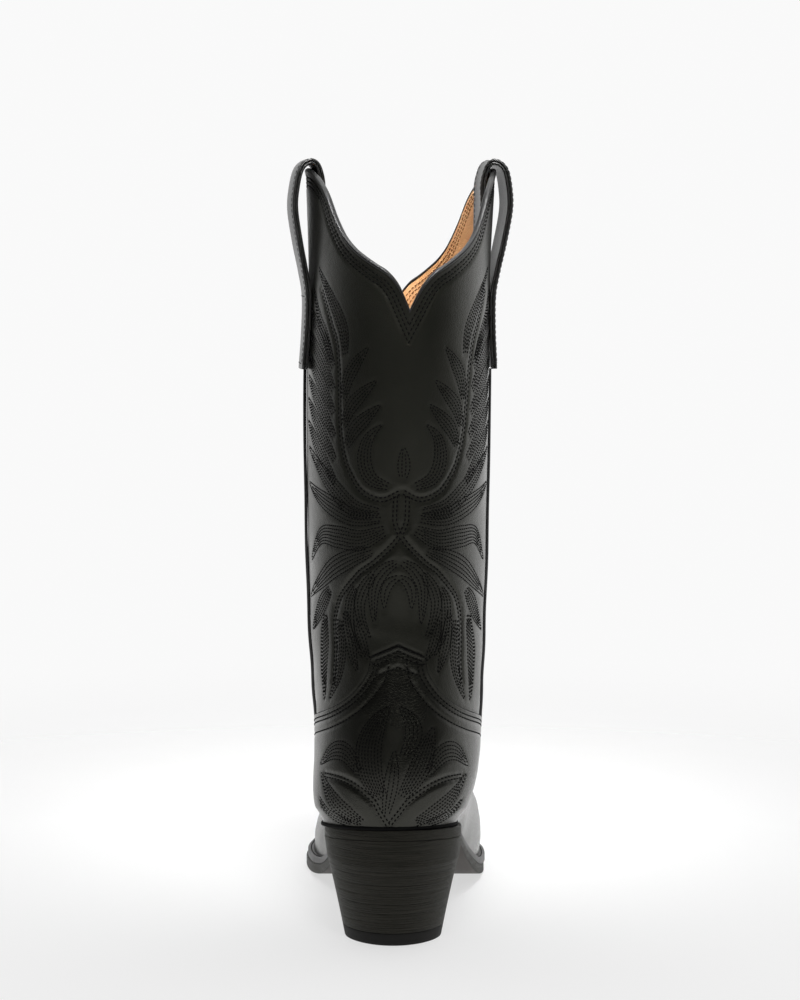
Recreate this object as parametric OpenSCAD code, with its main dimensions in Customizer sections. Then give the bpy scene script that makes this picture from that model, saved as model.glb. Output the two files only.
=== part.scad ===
// Western pull-on boot for the right foot, seen with the toe along +Y and the outer side at +X.
// The origin is the centre of the heel's ground face. Lengths are in millimetres.

/* [Overall] */
// Height of the two side ears above the ground
ear_height = 357; // [335:1:395]
// Depth of the dip at the centre of the back rim below the ears
back_dip = 64.5; // [45:1:80]
// Depth of the dip at the centre of the front rim below the ears
front_dip = 74; // [50:1:85]
// Length of the upper from the back of the heel to the toe tip
foot_length = 281; // [255:1:310]
// Width of the upper across the ball of the foot
ball_width = 82; // [74:1:94]
// Width of the upper at the heel seat
seat_width = 59; // [55:1:70]

/* [Shaft] */
// Width of the shaft at mid height, side to side
shaft_width = 85.5; // [76:0.5:100]
// Depth of the shaft below the dips, back to front
shaft_depth = 132; // [118:1:150]
// Width of the ankle, side to side
ankle_width = 83; // [74:0.5:92]
// Depth of the ankle, back to front
ankle_depth = 118; // [106:1:130]
// Height of the ankle above the heel seat
ankle_rise = 102; // [92:1:112]
// Turn of the rim towards the inner side of the foot, in degrees
shaft_twist = 4.5; // [0:0.5:8]

/* [Leather] */
// Thickness of the vamp and of the heel cover
vamp_leather = 1.4; // [1:0.1:2]
// Thickness of the shaft panels
shaft_leather = 1.2; // [0.8:0.1:2]
// Thickness of the lining
lining_leather = 1; // [0.6:0.1:1.6]
// Thickness of each of the two plies of a pull strap
strap_leather = 1.4; // [1:0.1:2]
// Width of a pull strap
strap_width = 30; // [22:1:36]
// Length of a pull strap's outer leg below the ear
strap_drop = 92; // [75:1:110]
// Height of the bead on the rim
bead_height = 2; // [1.2:0.1:3]
// Width of the piping in a side seam
piping_width = 2.6; // [1.8:0.1:4]
// How far the side piping stands out of the shaft
piping_height = 1.5; // [0.8:0.1:2.5]

/* [Sole] */
// Thickness of the outsole
outsole_thickness = 5; // [4:0.5:8]
// Thickness of the welt
welt_thickness = 3.5; // [2.5:0.5:5]
// How far the welt stands out of the upper
welt_width = 3.4; // [2:0.2:6]
// How far the heel seat stands out of the upper
seat_margin = 1; // [0.6:0.1:2]
// Height of the rand round the heel seat
rand_height = 1.6; // [1:0.1:2.5]
// Rise of the toe above the ball
toe_spring = 7; // [3:0.5:12]
// Thickness of the insole board
insole_thickness = 2.5; // [1.5:0.5:4]
// Thickness of the sock liner
sock_thickness = 2.5; // [1.5:0.5:4]
// Thickness of the filler and of the space for the shank
filler_thickness = 2.4; // [2:0.2:4]
// Thickness of the steel shank
shank_thickness = 1.6; // [1:0.2:1.8]
// Width of the steel shank
shank_width = 16; // [10:1:20]

/* [Heel] */
// Height of the heel at its back, up to the outsole
heel_height = 51; // [38:1:60]
// Width of the heel's ground face
heel_tip_width = 45; // [36:1:52]
// Length of the heel's ground face
heel_tip_length = 47; // [38:1:54]
// Distance from the ground face's centre forward to the heel breast at its top
breast_reach = 27; // [25:1:34]
// Number of leather lifts
lift_count = 7; // [4:1:9]
// Thickness of the rubber top lift
tip_thickness = 6; // [4:0.5:8]
// Number of nails round the top lift
nail_count = 7; // [5:1:9]
// Diameter of a heel nail
nail_diameter = 2; // [1.6:0.2:3]

/* [Hidden] */

gap = 0.05;          // clearance between pieces that are glued or stitched together
lap = 0.35;          // how far the shaft panels run down behind the vamp and heel cover, in levels
ankle = 7;           // level of the ankle: the foot lies below it and the shaft above
shaft_levels = 4;    // levels from the ankle to the ears
seam = 90;           // column of the two side seams, in degrees round from the back
seam_gap = 1.2;      // half the width left for a side seam, in degrees
heel_back = 34;      // distance from the origin back to the upper's heel
side_reach = 35;     // distance from the origin forward to the side seam at the sole

seat_z = heel_height + outsole_thickness;
ball_z = outsole_thickness;
toe_z = ball_z + toe_spring;
ankle_z = seat_z + ankle_rise;
level_rise = (ear_height - ankle_z) / shaft_levels;
toe_y = foot_length - heel_back;
seat_half = seat_width / 2;
ball_half = ball_width / 2;
ankle_half = ankle_width / 2;
shaft_half = shaft_width / 2;
ankle_front = ankle_depth - 30.5;
shaft_front_y = shaft_depth - 44;
wall = shaft_leather + lining_leather;

// ---- helpers ----
function lerp(a, b, f) = a + (b - a) * f;
function clamp(v, lo, hi) = min(max(v, lo), hi);
function smooth(a, b, v) = let (f = clamp((v - a) / (b - a), 0, 1)) f * f * (3 - 2 * f);
function unit(v) = v / norm(v);
function through(p, q, r, s, f) =
    0.5 * (2 * q + (r - p) * f + (2 * p - 5 * q + 4 * r - s) * f * f + (3 * q - p - 3 * r + s) * f * f * f);

// Smooth curve through the rows of a table, at a fractional row number; its ends run straight on.
function at_row(table, v) =
    let (last = len(table) - 1,
         i = clamp(floor(v), 0, last - 1),
         q = table[i],
         r = table[i + 1],
         p = i > 0 ? table[i - 1] : 2 * q - r,
         s = i < last - 1 ? table[i + 2] : 2 * r - q)
    through(p, q, r, s, v - i);

// ---- shape of the foot, in tenths of its length from the heel ----
lateral_half = concat(seat_half * [0.9, 1, 1, 1], [0.6 * seat_half + 0.36 * ball_half],
                      ball_half * [0.93, 1.02, 0.99, 0.77, 0.45, 0.12]);
medial_half = concat(seat_half * [0.9, 1, 0.97, 0.88], [0.5 * seat_half + 0.26 * ball_half],
                     ball_half * [0.76, 0.92, 0.98, 0.82, 0.5, 0.16]);
seat_share = [1, 0.935, 0.85, 0.655, 0.355, 0.11, 0.012, 0, 0, 0, 0];
spring_start = 0.68;

function outline_half(f, side) = at_row(side > 0 ? lateral_half : medial_half, 10 * f);
function sole_z(y) =
    let (f = clamp((y + heel_back) / foot_length, -0.02, 1.02))
    ball_z + (seat_z - ball_z) * at_row(seat_share, 10 * f)
    + toe_spring * pow(max(f - spring_start, 0) / (1 - spring_start), 2);
function sole_sag(y) = sole_z(y) - lerp(seat_z, toe_z, (y + heel_back) / foot_length);

// ---- levels of the upper, from the sole (0) through the ankle (7) to the ears (11) ----
// back y, back z, front y, front z, half width, roundness of the back and of the nose, forefoot share, shift in x
function foot_level(back_out, rise, nose_back, front_rise, width, heel_r, nose_r, fore, shift) =
    [-heel_back - back_out, seat_z + rise * ankle_rise, toe_y - nose_back * foot_length,
     lerp(toe_z, ankle_z, front_rise), lerp(seat_half, ankle_half, width), heel_r, nose_r, fore, shift];
function shaft_level(i, back_y, front_y, half, shift) =
    [back_y, ankle_z + i * level_rise, front_y, ankle_z + i * level_rise, half, 1, 1, 1, shift];
levels = [
    foot_level(0, 0, 0, 0, 0, 2 * seat_half / foot_length, 0.064, 1, 0),
    foot_level(2.5, 0.1, 0.002, 0.048, 0.4, 0.25, 0.113, 1.01, 0.8),
    foot_level(3.5, 0.225, 0.053, 0.113, 0.62, 0.32, 0.21, 0.95, 2.1),
    foot_level(2.5, 0.363, 0.153, 0.178, 0.68, 0.39, 0.333, 0.84, 2.7),
    foot_level(-0.5, 0.51, 0.281, 0.25, 0.7, 0.48, 0.476, 0.72, 2.8),
    foot_level(-3, 0.667, 0.406, 0.356, 0.76, 0.62, 0.67, 0.65, 2.6),
    foot_level(-4, 0.833, 0.509, 0.589, 0.86, 0.8, 0.87, 0.7, 2.2),
    shaft_level(0, -30.5, ankle_front, ankle_half, 1.7),
    shaft_level(1, -35, ankle_front - 4.5, shaft_half * 0.99, 1.8),
    shaft_level(2, -40, lerp(ankle_front, shaft_front_y, 0.4) - 2.5, shaft_half, 2.1),
    shaft_level(3, -44, shaft_front_y, shaft_half * 0.99, 2.7),
    shaft_level(4, -46.5, shaft_front_y + 2, shaft_half * 1.035, 3.6)];

function sag_share(t) = pow(max(1 - t / ankle, 0), 1.6);
function twist_at(z) = shaft_twist * clamp((z - ankle_z + 20) / (ear_height - back_dip - ankle_z + 20), -0.2, 1.2);
function end_round(d, r) = d < r ? sqrt(max(1 - pow(1 - d / r, 2), 0)) : 1;

// A point of the shaft panels' outer face. Column a runs from the back (0) by the outer side (90) and the front (180).
function skin_point(a, t) =
    let (row = at_row(levels, t),
         m = (a % 360 + 360) % 360,
         side = m <= 180 ? 1 : -1,
         c = side > 0 ? m : 360 - m,
         mid = (row[0] + row[2]) / 2,
         half = (row[2] - row[0]) / 2,
         seam_y = mid + (lerp(side_reach, levels[ankle][0] / 2 + levels[ankle][2] / 2, min(t / ankle, 1)) - mid)
                  * (t < ankle ? 1 : 0),
         turn = acos(clamp((mid - seam_y) / half, -1, 1)),
         th = c < seam ? c * turn / seam : turn + (c - seam) * (180 - turn) / (180 - seam),
         y = mid - half * cos(th),
         f = clamp((y + heel_back) / foot_length, 0, 1),
         foot = outline_half(f, side),
         fore = smooth(0.25, 0.6, f) * (1 - smooth(5, ankle, t)),
         w = lerp(foot, lerp(row[4], row[7] * foot, fore), clamp(t, 0, 1)),
         x = side * w * end_round(y - row[0], min(row[5], 1) * half) * end_round(row[2] - y, min(row[6], 1) * half),
         z = lerp(row[1], row[3], (y - row[0]) / (2 * half)) + sag_share(t) * sole_sag(y),
         k = twist_at(z))
    [row[8] + x * cos(k) - (y - mid) * sin(k), mid + x * sin(k) + (y - mid) * cos(k), z];

function normal_at(a, t) =
    let (da = 0.4, dt = 0.02)
    unit(cross(skin_point(a + da, t) - skin_point(a - da, t), skin_point(a, t + dt) - skin_point(a, max(t - dt, 0))));
function offset_point(a, t, d) = skin_point(a, t) + d * normal_at(a, t);

// ---- edge lines, as levels over columns ----
rim_rise = [0, 0.165, 0.262, 0.315, 0.37, 0.432, 0.52, 0.655, 0.815, 0.91, 0.962, 0.99, 1];
counter_line = [[0, 5.94], [8, 5.8], [16.5, 5.68], [18.5, 5.28], [23, 4.97], [30, 4.68], [37.5, 4.5], [45, 4.41],
    [52.5, 4.38], [60, 4.4], [67.5, 4.44], [75, 4.48], [82.5, 4.52], [90, 4.55]];
vamp_line = [6.85, 6.7, 6.3, 5.75, 5.4, 5.2, 5.02, 4.9, 4.81, 4.74, 4.68, 4.61, 4.55];

function fold_back(a) = let (m = (a % 360 + 360) % 360) min(m, 360 - m);
function rim_at(a) =
    let (c = fold_back(a), back = c <= seam, d = back ? c : 180 - c, dip = back ? back_dip : front_dip)
    ankle + (ear_height - dip * (1 - at_row(rim_rise, d / 7.5)) - ankle_z) / level_rise;
function top_line(a) =
    let (c = fold_back(a)) c <= seam ? lookup(c, counter_line) : at_row(vamp_line, (180 - c) / 7.5);

// ---- solids from grids ----
// Faces of a closed block of two layers of cols by rows points, over the cells that keep(i, j) holds
everywhere = function (i, j) true;
function quad(a, b, c, d) = [[a, b, c], [a, c, d]];
function block_faces(cols, rows, keep = everywhere) =
    let (n = cols * rows,
         id = function (i, j, k) k * n + j * cols + i,
         kept = function (i, j) i >= 0 && j >= 0 && i < cols - 1 && j < rows - 1 && keep(i, j))
    [for (j = [0:rows - 2]) for (i = [0:cols - 2]) if (kept(i, j)) each concat(
        quad(id(i, j, 0), id(i, j + 1, 0), id(i + 1, j + 1, 0), id(i + 1, j, 0)),
        quad(id(i, j, 1), id(i + 1, j, 1), id(i + 1, j + 1, 1), id(i, j + 1, 1)),
        kept(i, j - 1) ? [] : quad(id(i, j, 0), id(i + 1, j, 0), id(i + 1, j, 1), id(i, j, 1)),
        kept(i, j + 1) ? [] : quad(id(i, j + 1, 0), id(i, j + 1, 1), id(i + 1, j + 1, 1), id(i + 1, j + 1, 0)),
        kept(i - 1, j) ? [] : quad(id(i, j, 0), id(i, j, 1), id(i, j + 1, 1), id(i, j + 1, 0)),
        kept(i + 1, j) ? [] : quad(id(i + 1, j, 0), id(i + 1, j + 1, 0), id(i + 1, j + 1, 1), id(i + 1, j, 1)))];

// Columns of the back and front halves; the ends stop short of the side seams by a small angle
// The two close columns on each side hold the shoulder of the heel cover's peak.
back_steps = [0, 8, 16.5, 18.5, 23, 30, 37.5, 45, 52.5, 60, 67.5, 75, 82.5];
function back_columns(short) = let (n = len(back_steps)) concat(
    [-seam + short], [for (k = [1:n - 1]) -back_steps[n - k]], back_steps, [seam - short]);
function front_columns(short) = concat([seam + short], [for (c = [97.5:7.5:142.5]) c], [for (c = [150:5:210]) c],
                                       [for (c = [217.5:7.5:262.5]) c], [360 - seam - short]);

// Rows of the foot pieces and of the shaft pieces: both have a row at the foot of the lap and one at the top line
heel_rows = 8;
vamp_rows = 11;
shaft_rows = 11;
foot_start = 0.07;   // level of the foot pieces' lower edge, just clear of the outsole
function foot_row(a, j, rows) = j < rows ? lerp(foot_start, top_line(a) - lap, j / (rows - 1)) : top_line(a);
function shaft_row(a, j) = j == 0 ? top_line(a) - lap : lerp(top_line(a), rim_at(a), (j - 1) / (shaft_rows - 2));

// A shell of the upper on a grid of columns and rows, between two depths from the surface
module shell(columns, rows, level, inner, outer, keep = everywhere) {
    cols = len(columns);
    spot = [for (j = [0:rows - 1]) for (a = columns) [a, level(a, j)]];
    base = [for (s = spot) skin_point(s[0], s[1])];
    out = [for (s = spot) normal_at(s[0], s[1])];
    points = concat([for (i = [0:len(spot) - 1]) base[i] + outer * out[i]],
                    [for (i = [0:len(spot) - 1]) base[i] + inner * out[i]]);
    polyhedron(points, block_faces(cols, rows, keep), convexity = 6);
}

// A bar swept through rings of equal length, closed at both ends
module bar(rings) {
    n = len(rings[0]);
    m = len(rings);
    sides = [for (j = [0:m - 2]) for (i = [0:n - 1]) for (f = [
        [j * n + i, j * n + (i + 1) % n, (j + 1) * n + (i + 1) % n],
        [j * n + i, (j + 1) * n + (i + 1) % n, (j + 1) * n + i]]) f];
    first = [for (i = [1:n - 2]) [0, i + 1, i]];
    last = [for (i = [1:n - 2]) [(m - 1) * n, (m - 1) * n + i, (m - 1) * n + i + 1]];
    polyhedron([for (r = rings) each r], concat(sides, first, last), convexity = 6);
}

// ---- upper ----
module vamp() {
    color("#1c1c1b") shell(front_columns(seam_gap), vamp_rows + 1,
                           function (a, j) foot_row(a, j, vamp_rows), gap, vamp_leather);
}

module counter_cover() {
    color("#1c1c1b") shell(back_columns(seam_gap), heel_rows + 1,
                           function (a, j) foot_row(a, j, heel_rows), gap, vamp_leather);
}

module shaft_panel(columns) {
    color("#20201f") shell(columns, shaft_rows, function (a, j) shaft_row(a, j), -shaft_leather, 0);
}

module shaft_lining(columns) {
    color("#c98a52") shell(columns, shaft_rows, function (a, j) shaft_row(a, j), -wall, -shaft_leather - gap);
}

// The foot pieces inside stop a little short of the shaft pieces above them
stop_short = 0.03;
function inner_row(a, j, rows) = foot_row(a, j, rows) - (j == rows - 1 ? stop_short : 0);

module foot_lining(columns, rows) {
    color("#c98a52") shell(columns, rows, function (a, j) inner_row(a, j, rows), -wall, -shaft_leather - gap);
}

module counter_stiffener() {
    color("#8d7a60") shell(back_columns(seam_gap), heel_rows, function (a, j) inner_row(a, j, heel_rows),
                           -shaft_leather, 0, function (i, j) i > 0 && i < 2 * len(back_steps) - 1);
}

// The toe box fills the middle columns and lower rows, and the interlining fills the rest of the front
toe_cols = [8, 19];
toe_rows = 5;
function in_toe(i, j) = i >= toe_cols[0] && i <= toe_cols[1] && j < toe_rows;

module toe_box() {
    color("#8d7a60") shell(front_columns(seam_gap), vamp_rows,
                           function (a, j) foot_row(a, j, vamp_rows) - (j == toe_rows ? stop_short : 0),
                           -shaft_leather, 0, function (i, j) in_toe(i, j));
}

module vamp_interlining() {
    color("#d9cfb8") shell(front_columns(seam_gap), vamp_rows, function (a, j) inner_row(a, j, vamp_rows),
                           -shaft_leather, 0, function (i, j) i > 0 && i < 27 && !in_toe(i, j)
                           && !(j < toe_rows && (i == toe_cols[0] - 1 || i == toe_cols[1] + 1)));
}

// Half-round piping that covers a side seam from the foot pieces up to the pull strap
seat_clear = 0.1;    // clearance between a curved face and what is stitched on it
module side_piping(a) {
    rows = 20;
    strap_level = ankle + (ear_height - strap_drop - seat_clear * 4 - ankle_z) / level_rise;
    levels_up = [for (j = [0:rows - 1]) lerp(top_line(a) + 0.03, strap_level, j / (rows - 1))];
    color("#151515") bar([for (t = levels_up)
        let (n = normal_at(a, t), up = unit(skin_point(a, t + 0.05) - skin_point(a, t)), across = cross(up, n))
        [for (q = [0:6]) skin_point(a, t) + n * (seat_clear + piping_height * sin(q * 30))
                         + across * piping_width / 2 * cos(q * 30)]]);
}

// Bead that binds the rim, standing on the edge of the panel and its lining
module rim_bead(columns) {
    color("#111111") bar([for (a = columns)
        let (t = rim_at(a), n = normal_at(a, t), up = unit(skin_point(a, t + 0.05) - skin_point(a, t)),
             base = skin_point(a, t) - n * wall / 2 + up * 1.5 * seat_clear)
        [for (q = [0:6]) base + up * bead_height * sin(q * 30) + n * (wall / 2 + 0.2) * cos(q * 30)]]);
}

// ---- pull straps ----
// Middle line of a strap: distance out of the shaft's surface and height above the ear
sewn_out = strap_leather + 3 * seat_clear;
sewn_in = -wall - strap_leather - 3 * seat_clear;
strap_line = [[sewn_out + 0.8, -strap_drop], [sewn_out, -strap_drop + 17], [sewn_out, -strap_drop + 34],
    [sewn_out + 1.8, -46], [sewn_out + 4.2, -33], [sewn_out + 6.1, -18], [sewn_out + 5.3, -8],
    [sewn_out + 2.8, 1.2], [0, 4.6], [-3.4, 2.4], [sewn_in - 1.4, -5], [sewn_in - 0.9, -14],
    [sewn_in - 0.3, -28], [sewn_in, -42], [sewn_in, -70]];

function strap_point(side, across, v, depth) =
    let (p = at_row(strap_line, v),
         q = at_row(strap_line, v + 0.05) - at_row(strap_line, v - 0.05),
         turned = unit([-q[1], q[0]]),
         out = p[0] - depth * turned[0],
         up = p[1] - depth * turned[1],
         half = shaft_depth / 2,
         a = side * (seam + asin(across / half)),
         t = ankle + (min(ear_height + up, ear_height) - ankle_z) / level_rise,
         flat = [normal_at(a, t)[0], normal_at(a, t)[1], 0])
    skin_point(a, t) + out * unit(flat) + [0, 0, max(up, 0)];

module strap_ply(side, near, far) {
    cols = 5;
    rows = 33;
    last = len(strap_line) - 1;
    grid = function (depth) [for (j = [0:rows - 1]) for (i = [0:cols - 1])
        strap_point(side, side * strap_width * (i / (cols - 1) - 0.5), last * j / (rows - 1), depth)];
    color("#161616") polyhedron(concat(grid(far), grid(near)), block_faces(cols, rows), convexity = 8);
}

// ---- sole ----
// Plan outline of the sole unit at an angle from the heel (0) to the toe (180), grown by d
function plan_point(th, side, d) =
    let (mid = foot_length / 2 - heel_back,
         half = foot_length / 2,
         edge = function (v) let (y = mid - half * cos(v), f = (y + heel_back) / foot_length)
             [side * outline_half(f, side) * end_round(y + heel_back, seat_half)
              * end_round(toe_y - y, 0.064 * half), y],
         run = edge(th + 0.5) - edge(th - 0.5),
         n = unit([side * run[1], -side * run[0]]))
    edge(th) + d * n;
function sole_margin(y) =
    lerp(vamp_leather + seat_margin, vamp_leather + welt_width, smooth(0.25, 0.42, (y + heel_back) / foot_length));
function sole_edge(th, side) = let (p = plan_point(th, side, 0)) plan_point(th, side, sole_margin(p[1]));

// A plate that follows the sole's profile between two heights, from station th0 to th1
module sole_plate(th0, th1, low, high, edge, stations) {
    st = [for (i = [0:stations - 1]) lerp(th0, th1, i / (stations - 1))];
    bar([for (th = st) let (l = edge(th, 1), m = edge(th, -1))
        [[l[0], l[1], sole_z(l[1]) + low], [l[0], l[1], sole_z(l[1]) + high],
         [m[0], m[1], sole_z(m[1]) + high], [m[0], m[1], sole_z(m[1]) + low]]]);
}

module outsole() {
    color("#17130f") sole_plate(2, 178, -outsole_thickness, 0, function (th, side) sole_edge(th, side), 51);
}

// Outline of the inside of the boot at a column, kept clear of the lining between two heights above the sole
inside_clear = 0.9;
function inside_edge(c, side, low, high) =
    let (a = side > 0 ? c : 360 - c,
         rise = skin_point(a, 1)[2] - skin_point(a, 0)[2],
         p = offset_point(a, max(low / rise, foot_start), -wall - inside_clear),
         q = offset_point(a, high / rise, -wall - inside_clear))
    [side * max(min(side * p[0], side * q[0]), 0.5), c < seam ? max(p[1], q[1]) : min(p[1], q[1])];

module inside_plate(c0, c1, low, high, stations, inset = 0) {
    sole_plate(c0, c1, low, high, function (c, side)
        let (p = inside_edge(c, side, low, high)) [p[0] - side * inset, p[1]], stations);
}

insole_top = filler_thickness + insole_thickness;
module insole() {
    color("#b98f63") inside_plate(6, 174, filler_thickness + gap, insole_top, 41);
}

module sock_liner() {
    color("#c98a52") inside_plate(6, 174, insole_top + 2 * gap, insole_top + sock_thickness, 41);
}

shank_from = -12;
shank_to = 88;
module shank() {
    color("silver") bar([for (i = [0:20]) let (y = lerp(shank_from, shank_to, i / 20))
        [for (c = [[1, 0], [1, 1], [-1, 1], [-1, 0]])
            [c[0] * shank_width / 2, y, sole_z(y) + 3 * gap + c[1] * shank_thickness]]]);
}

module bottom_filler() {
    color("#9c7446") inside_plate(108, 170, 3 * gap, filler_thickness - 2 * gap, 21, 2);
}

// A strip round the foot of the upper. Its inner face follows the leather beside it, facet by facet,
// and its outer edge follows the edge of the sole, with several short steps to each facet.
strip_clear = 0.15;   // room between the strip and the leather beside it and the sole under it
strip_least = 0.7;    // least width, where the leather bulges out over the edge of the sole
strip_steps = 3;

// A point of the inner face on column a, at a height above the sole
function beside(a, rows, height) =
    let (p = offset_point(a, foot_start, vamp_leather + strip_clear),
         q = offset_point(a, foot_row(a, 1, rows), vamp_leather + strip_clear),
         z = sole_z(p[1]) + strip_clear + height)
    lerp(p, q, (z - p[2]) / (q[2] - p[2]));

// A point of the outer edge on column a, at a height above the sole, for a strip of the given thickness
function strip_edge(a, rows, thickness, height) =
    let (n = normal_at(a, 0),
         way = unit([n[0], n[1], 0]),
         foot = skin_point(a, 0),
         reach = max(sole_margin(foot[1]), (beside(a, rows, thickness) - foot) * way + strip_least),
         y = foot[1] + reach * way[1])
    [foot[0] + reach * way[0], y, sole_z(y) + strip_clear + height];

module foot_strip(columns, rows, height) {
    last = len(columns) - 1;
    bar([for (k = [0:strip_steps * last])
        let (i = min(floor(k / strip_steps), last - 1),
             f = k / strip_steps - i,
             a = lerp(columns[i], columns[i + 1], f))
        [strip_edge(a, rows, height, 0), strip_edge(a, rows, height, height),
         lerp(beside(columns[i], rows, height), beside(columns[i + 1], rows, height), f),
         lerp(beside(columns[i], rows, 0), beside(columns[i + 1], rows, 0), f)]]);
}

module welt() {
    color("#141312") foot_strip(front_columns(seam_gap), vamp_rows, welt_thickness);
}

module heel_seat_rand() {
    color("#0e0e0e") foot_strip(back_columns(seam_gap), heel_rows, rand_height);
}

// ---- heel ----
heel_top_back = -heel_back - vamp_leather - seat_margin;
tip_half = heel_tip_length / 2;
breast_turn = acos(clamp((foot_length / 2 - heel_back - breast_reach) / (foot_length / 2), -1, 1));
top_half = seat_half + vamp_leather + seat_margin;

// Plan outline of the heel at a share s of the way from its top (0) down to the ground (1)
function heel_outline(s) =
    let (ease = pow(s, 0.85),
         narrow = lerp(1, heel_tip_width / 2 / top_half, ease),
         back = lerp(heel_top_back, -tip_half, ease),
         front = lerp(breast_reach, tip_half, ease),
         place = function (p) [p[0] * narrow,
             back + (p[1] - heel_top_back) / (breast_reach - heel_top_back) * (front - back)],
         n = 13,
         arc = [for (i = [0:n]) sole_edge(breast_turn * i / n + 0.01, 1)],
         hollow = 1.6)
    concat([for (i = [n:-1:0]) place([arc[i][0], arc[i][1]])],
           [for (i = [1:n]) place([-arc[i][0], arc[i][1]])],
           [for (i = [-1:1]) place([i * top_half / 2, breast_reach - hollow * (1 - i * i / 4)])]);

wedge_front = 3;      // thickness of the heel base at its front edge
level_top = sole_z(breast_reach) - outsole_thickness - wedge_front;
lift_thickness = (level_top - tip_thickness) / lift_count;

// A solid between two heel outlines, with its top at height_at(y)
module heel_slab(low, high, height_at = undef) {
    span = level_top + wedge_front;
    share = function (z) clamp(1 - z / span, 0, 1);
    under = heel_outline(share(low));
    over = heel_outline(share(high));
    bar([[for (p = under) [p[0], p[1], low]],
         [for (p = over) [p[0], p[1], is_undef(height_at) ? high : height_at(p[1])]]]);
}

module heel_base() {
    color("#1a1613") heel_slab(level_top + gap, level_top + wedge_front,
                               function (y) sole_z(y) - outsole_thickness - gap);
}

module nail_places(inset) {
    for (i = [0:nail_count - 1]) {
        turn = lerp(-120, 120, i / (nail_count - 1));
        translate([(heel_tip_width / 2 - inset) * sin(turn), -(tip_half - inset) * cos(turn), 0]) children();
    }
}

nail_inset = 6;
nail_length = tip_thickness + 2 * lift_thickness - 1;
module heel_nails() {
    color("silver") nail_places(nail_inset) translate([0, 0, 0.3]) cylinder(h = nail_length, d = nail_diameter, $fn = 24);
}

module nail_holes() {
    nail_places(nail_inset) translate([0, 0, -1])
        cylinder(h = nail_length + 1.3 + gap, d = nail_diameter + 2 * gap, $fn = 24);
}

// Lifts are counted from the top of the heel down
module heel_lift(i) {
    high = level_top - (i - 1) * lift_thickness;
    low = high - lift_thickness;
    color(i % 2 == 0 ? "#1f1a16" : "#17130f")
        if (low < nail_length)
            difference() {
                heel_slab(low + gap, high);
                nail_holes();
            }
        else
            heel_slab(low + gap, high);
}

module heel_top_lift() {
    color("#0d0d0d") difference() {
        linear_extrude(tip_thickness) polygon(heel_outline(1));
        nail_holes();
    }
}

vamp();
counter_cover();
shaft_panel(back_columns(seam_gap));  // shaft_back
shaft_panel(front_columns(seam_gap));  // shaft_front
side_piping(seam);  // side_piping_lateral
side_piping(-seam);  // side_piping_medial
rim_bead(back_columns(seam_gap / 2));  // rim_bead_back
rim_bead(front_columns(seam_gap / 2));  // rim_bead_front
shaft_lining(back_columns(seam_gap / 4));  // shaft_lining_back
shaft_lining(front_columns(seam_gap / 4));  // shaft_lining_front
foot_lining(front_columns(seam_gap / 4), vamp_rows);  // vamp_lining
foot_lining(back_columns(seam_gap / 4), heel_rows);  // heel_lining
counter_stiffener();
toe_box();
vamp_interlining();
strap_ply(1, 0, strap_leather - gap);  // pull_strap_lateral
strap_ply(1, -strap_leather + gap, 0);  // pull_strap_lateral_backing
strap_ply(-1, 0, strap_leather - gap);  // pull_strap_medial
strap_ply(-1, -strap_leather + gap, 0);  // pull_strap_medial_backing
sock_liner();
insole();
shank();
bottom_filler();
welt();
heel_seat_rand();
outsole();
heel_base();
for (i = [1:lift_count]) heel_lift(i);
heel_top_lift();
heel_nails();
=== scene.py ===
import math

import bpy
import numpy as np
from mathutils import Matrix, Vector


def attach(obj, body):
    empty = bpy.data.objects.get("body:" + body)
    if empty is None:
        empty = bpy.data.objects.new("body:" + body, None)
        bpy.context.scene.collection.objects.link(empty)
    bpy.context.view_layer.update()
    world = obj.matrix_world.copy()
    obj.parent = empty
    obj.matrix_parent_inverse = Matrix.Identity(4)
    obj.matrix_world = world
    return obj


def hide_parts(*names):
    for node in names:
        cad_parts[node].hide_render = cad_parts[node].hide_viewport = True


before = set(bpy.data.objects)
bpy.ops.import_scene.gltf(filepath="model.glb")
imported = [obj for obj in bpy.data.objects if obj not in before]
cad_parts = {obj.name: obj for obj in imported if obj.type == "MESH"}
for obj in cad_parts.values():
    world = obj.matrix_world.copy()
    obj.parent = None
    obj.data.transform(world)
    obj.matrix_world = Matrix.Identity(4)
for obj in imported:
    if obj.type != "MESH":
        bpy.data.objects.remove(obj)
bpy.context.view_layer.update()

MM = 0.001

# ---- sizes, in mm, as the CAD has them
EAR = 357.0            # height of the ears of the shaft, over the side seams
BACK_DIP = 64.5        # how far the top edge dips at the back
FRONT_DIP = 74.0
FOOT = 281.0           # length of the foot
BALL = 82.0            # width at the ball
SEAT = 59.0            # width at the heel seat
SHAFT_W = 85.5         # width and depth of the shaft
SHAFT_D = 132.0
ANKLE_W = 83.0
ANKLE_D = 118.0
ANKLE_RISE = 102.0     # height of the ankle over the heel seat
TWIST = 4.5            # turn of the shaft on the foot, in degrees
VAMP_T = 1.4           # leather thicknesses: foot pieces, shaft, lining, straps
SHAFT_T = 1.2
LINING_T = 1.0
STRAP_T = 1.4
STRAP_W = 30.0
STRAP_DROP = 92.0      # how far the straps reach down from the ears
PIPE_W = 2.6           # width and height of the side piping
PIPE_H = 1.5
OUTSOLE_T = 5.0
WELT_T = 3.5
WELT_W = 3.4
SEAT_MARGIN = 1.0      # ledge of the sole round the heel seat
RAND_H = 1.6
SPRING = 7.0           # lift of the toe
HEEL_H = 51.0
TIP_W = 45.0           # ground face of the heel
TIP_L = 47.0
TIP_T = 6.0            # thickness of the rubber top lift
BREAST = 27.0          # reach of the heel's front face
LIFTS = 7
WEDGE_FRONT = 3.0      # thickness of the heel base at its front
HEEL_BACK = 34.0       # from the origin back to the end of the foot
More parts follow.
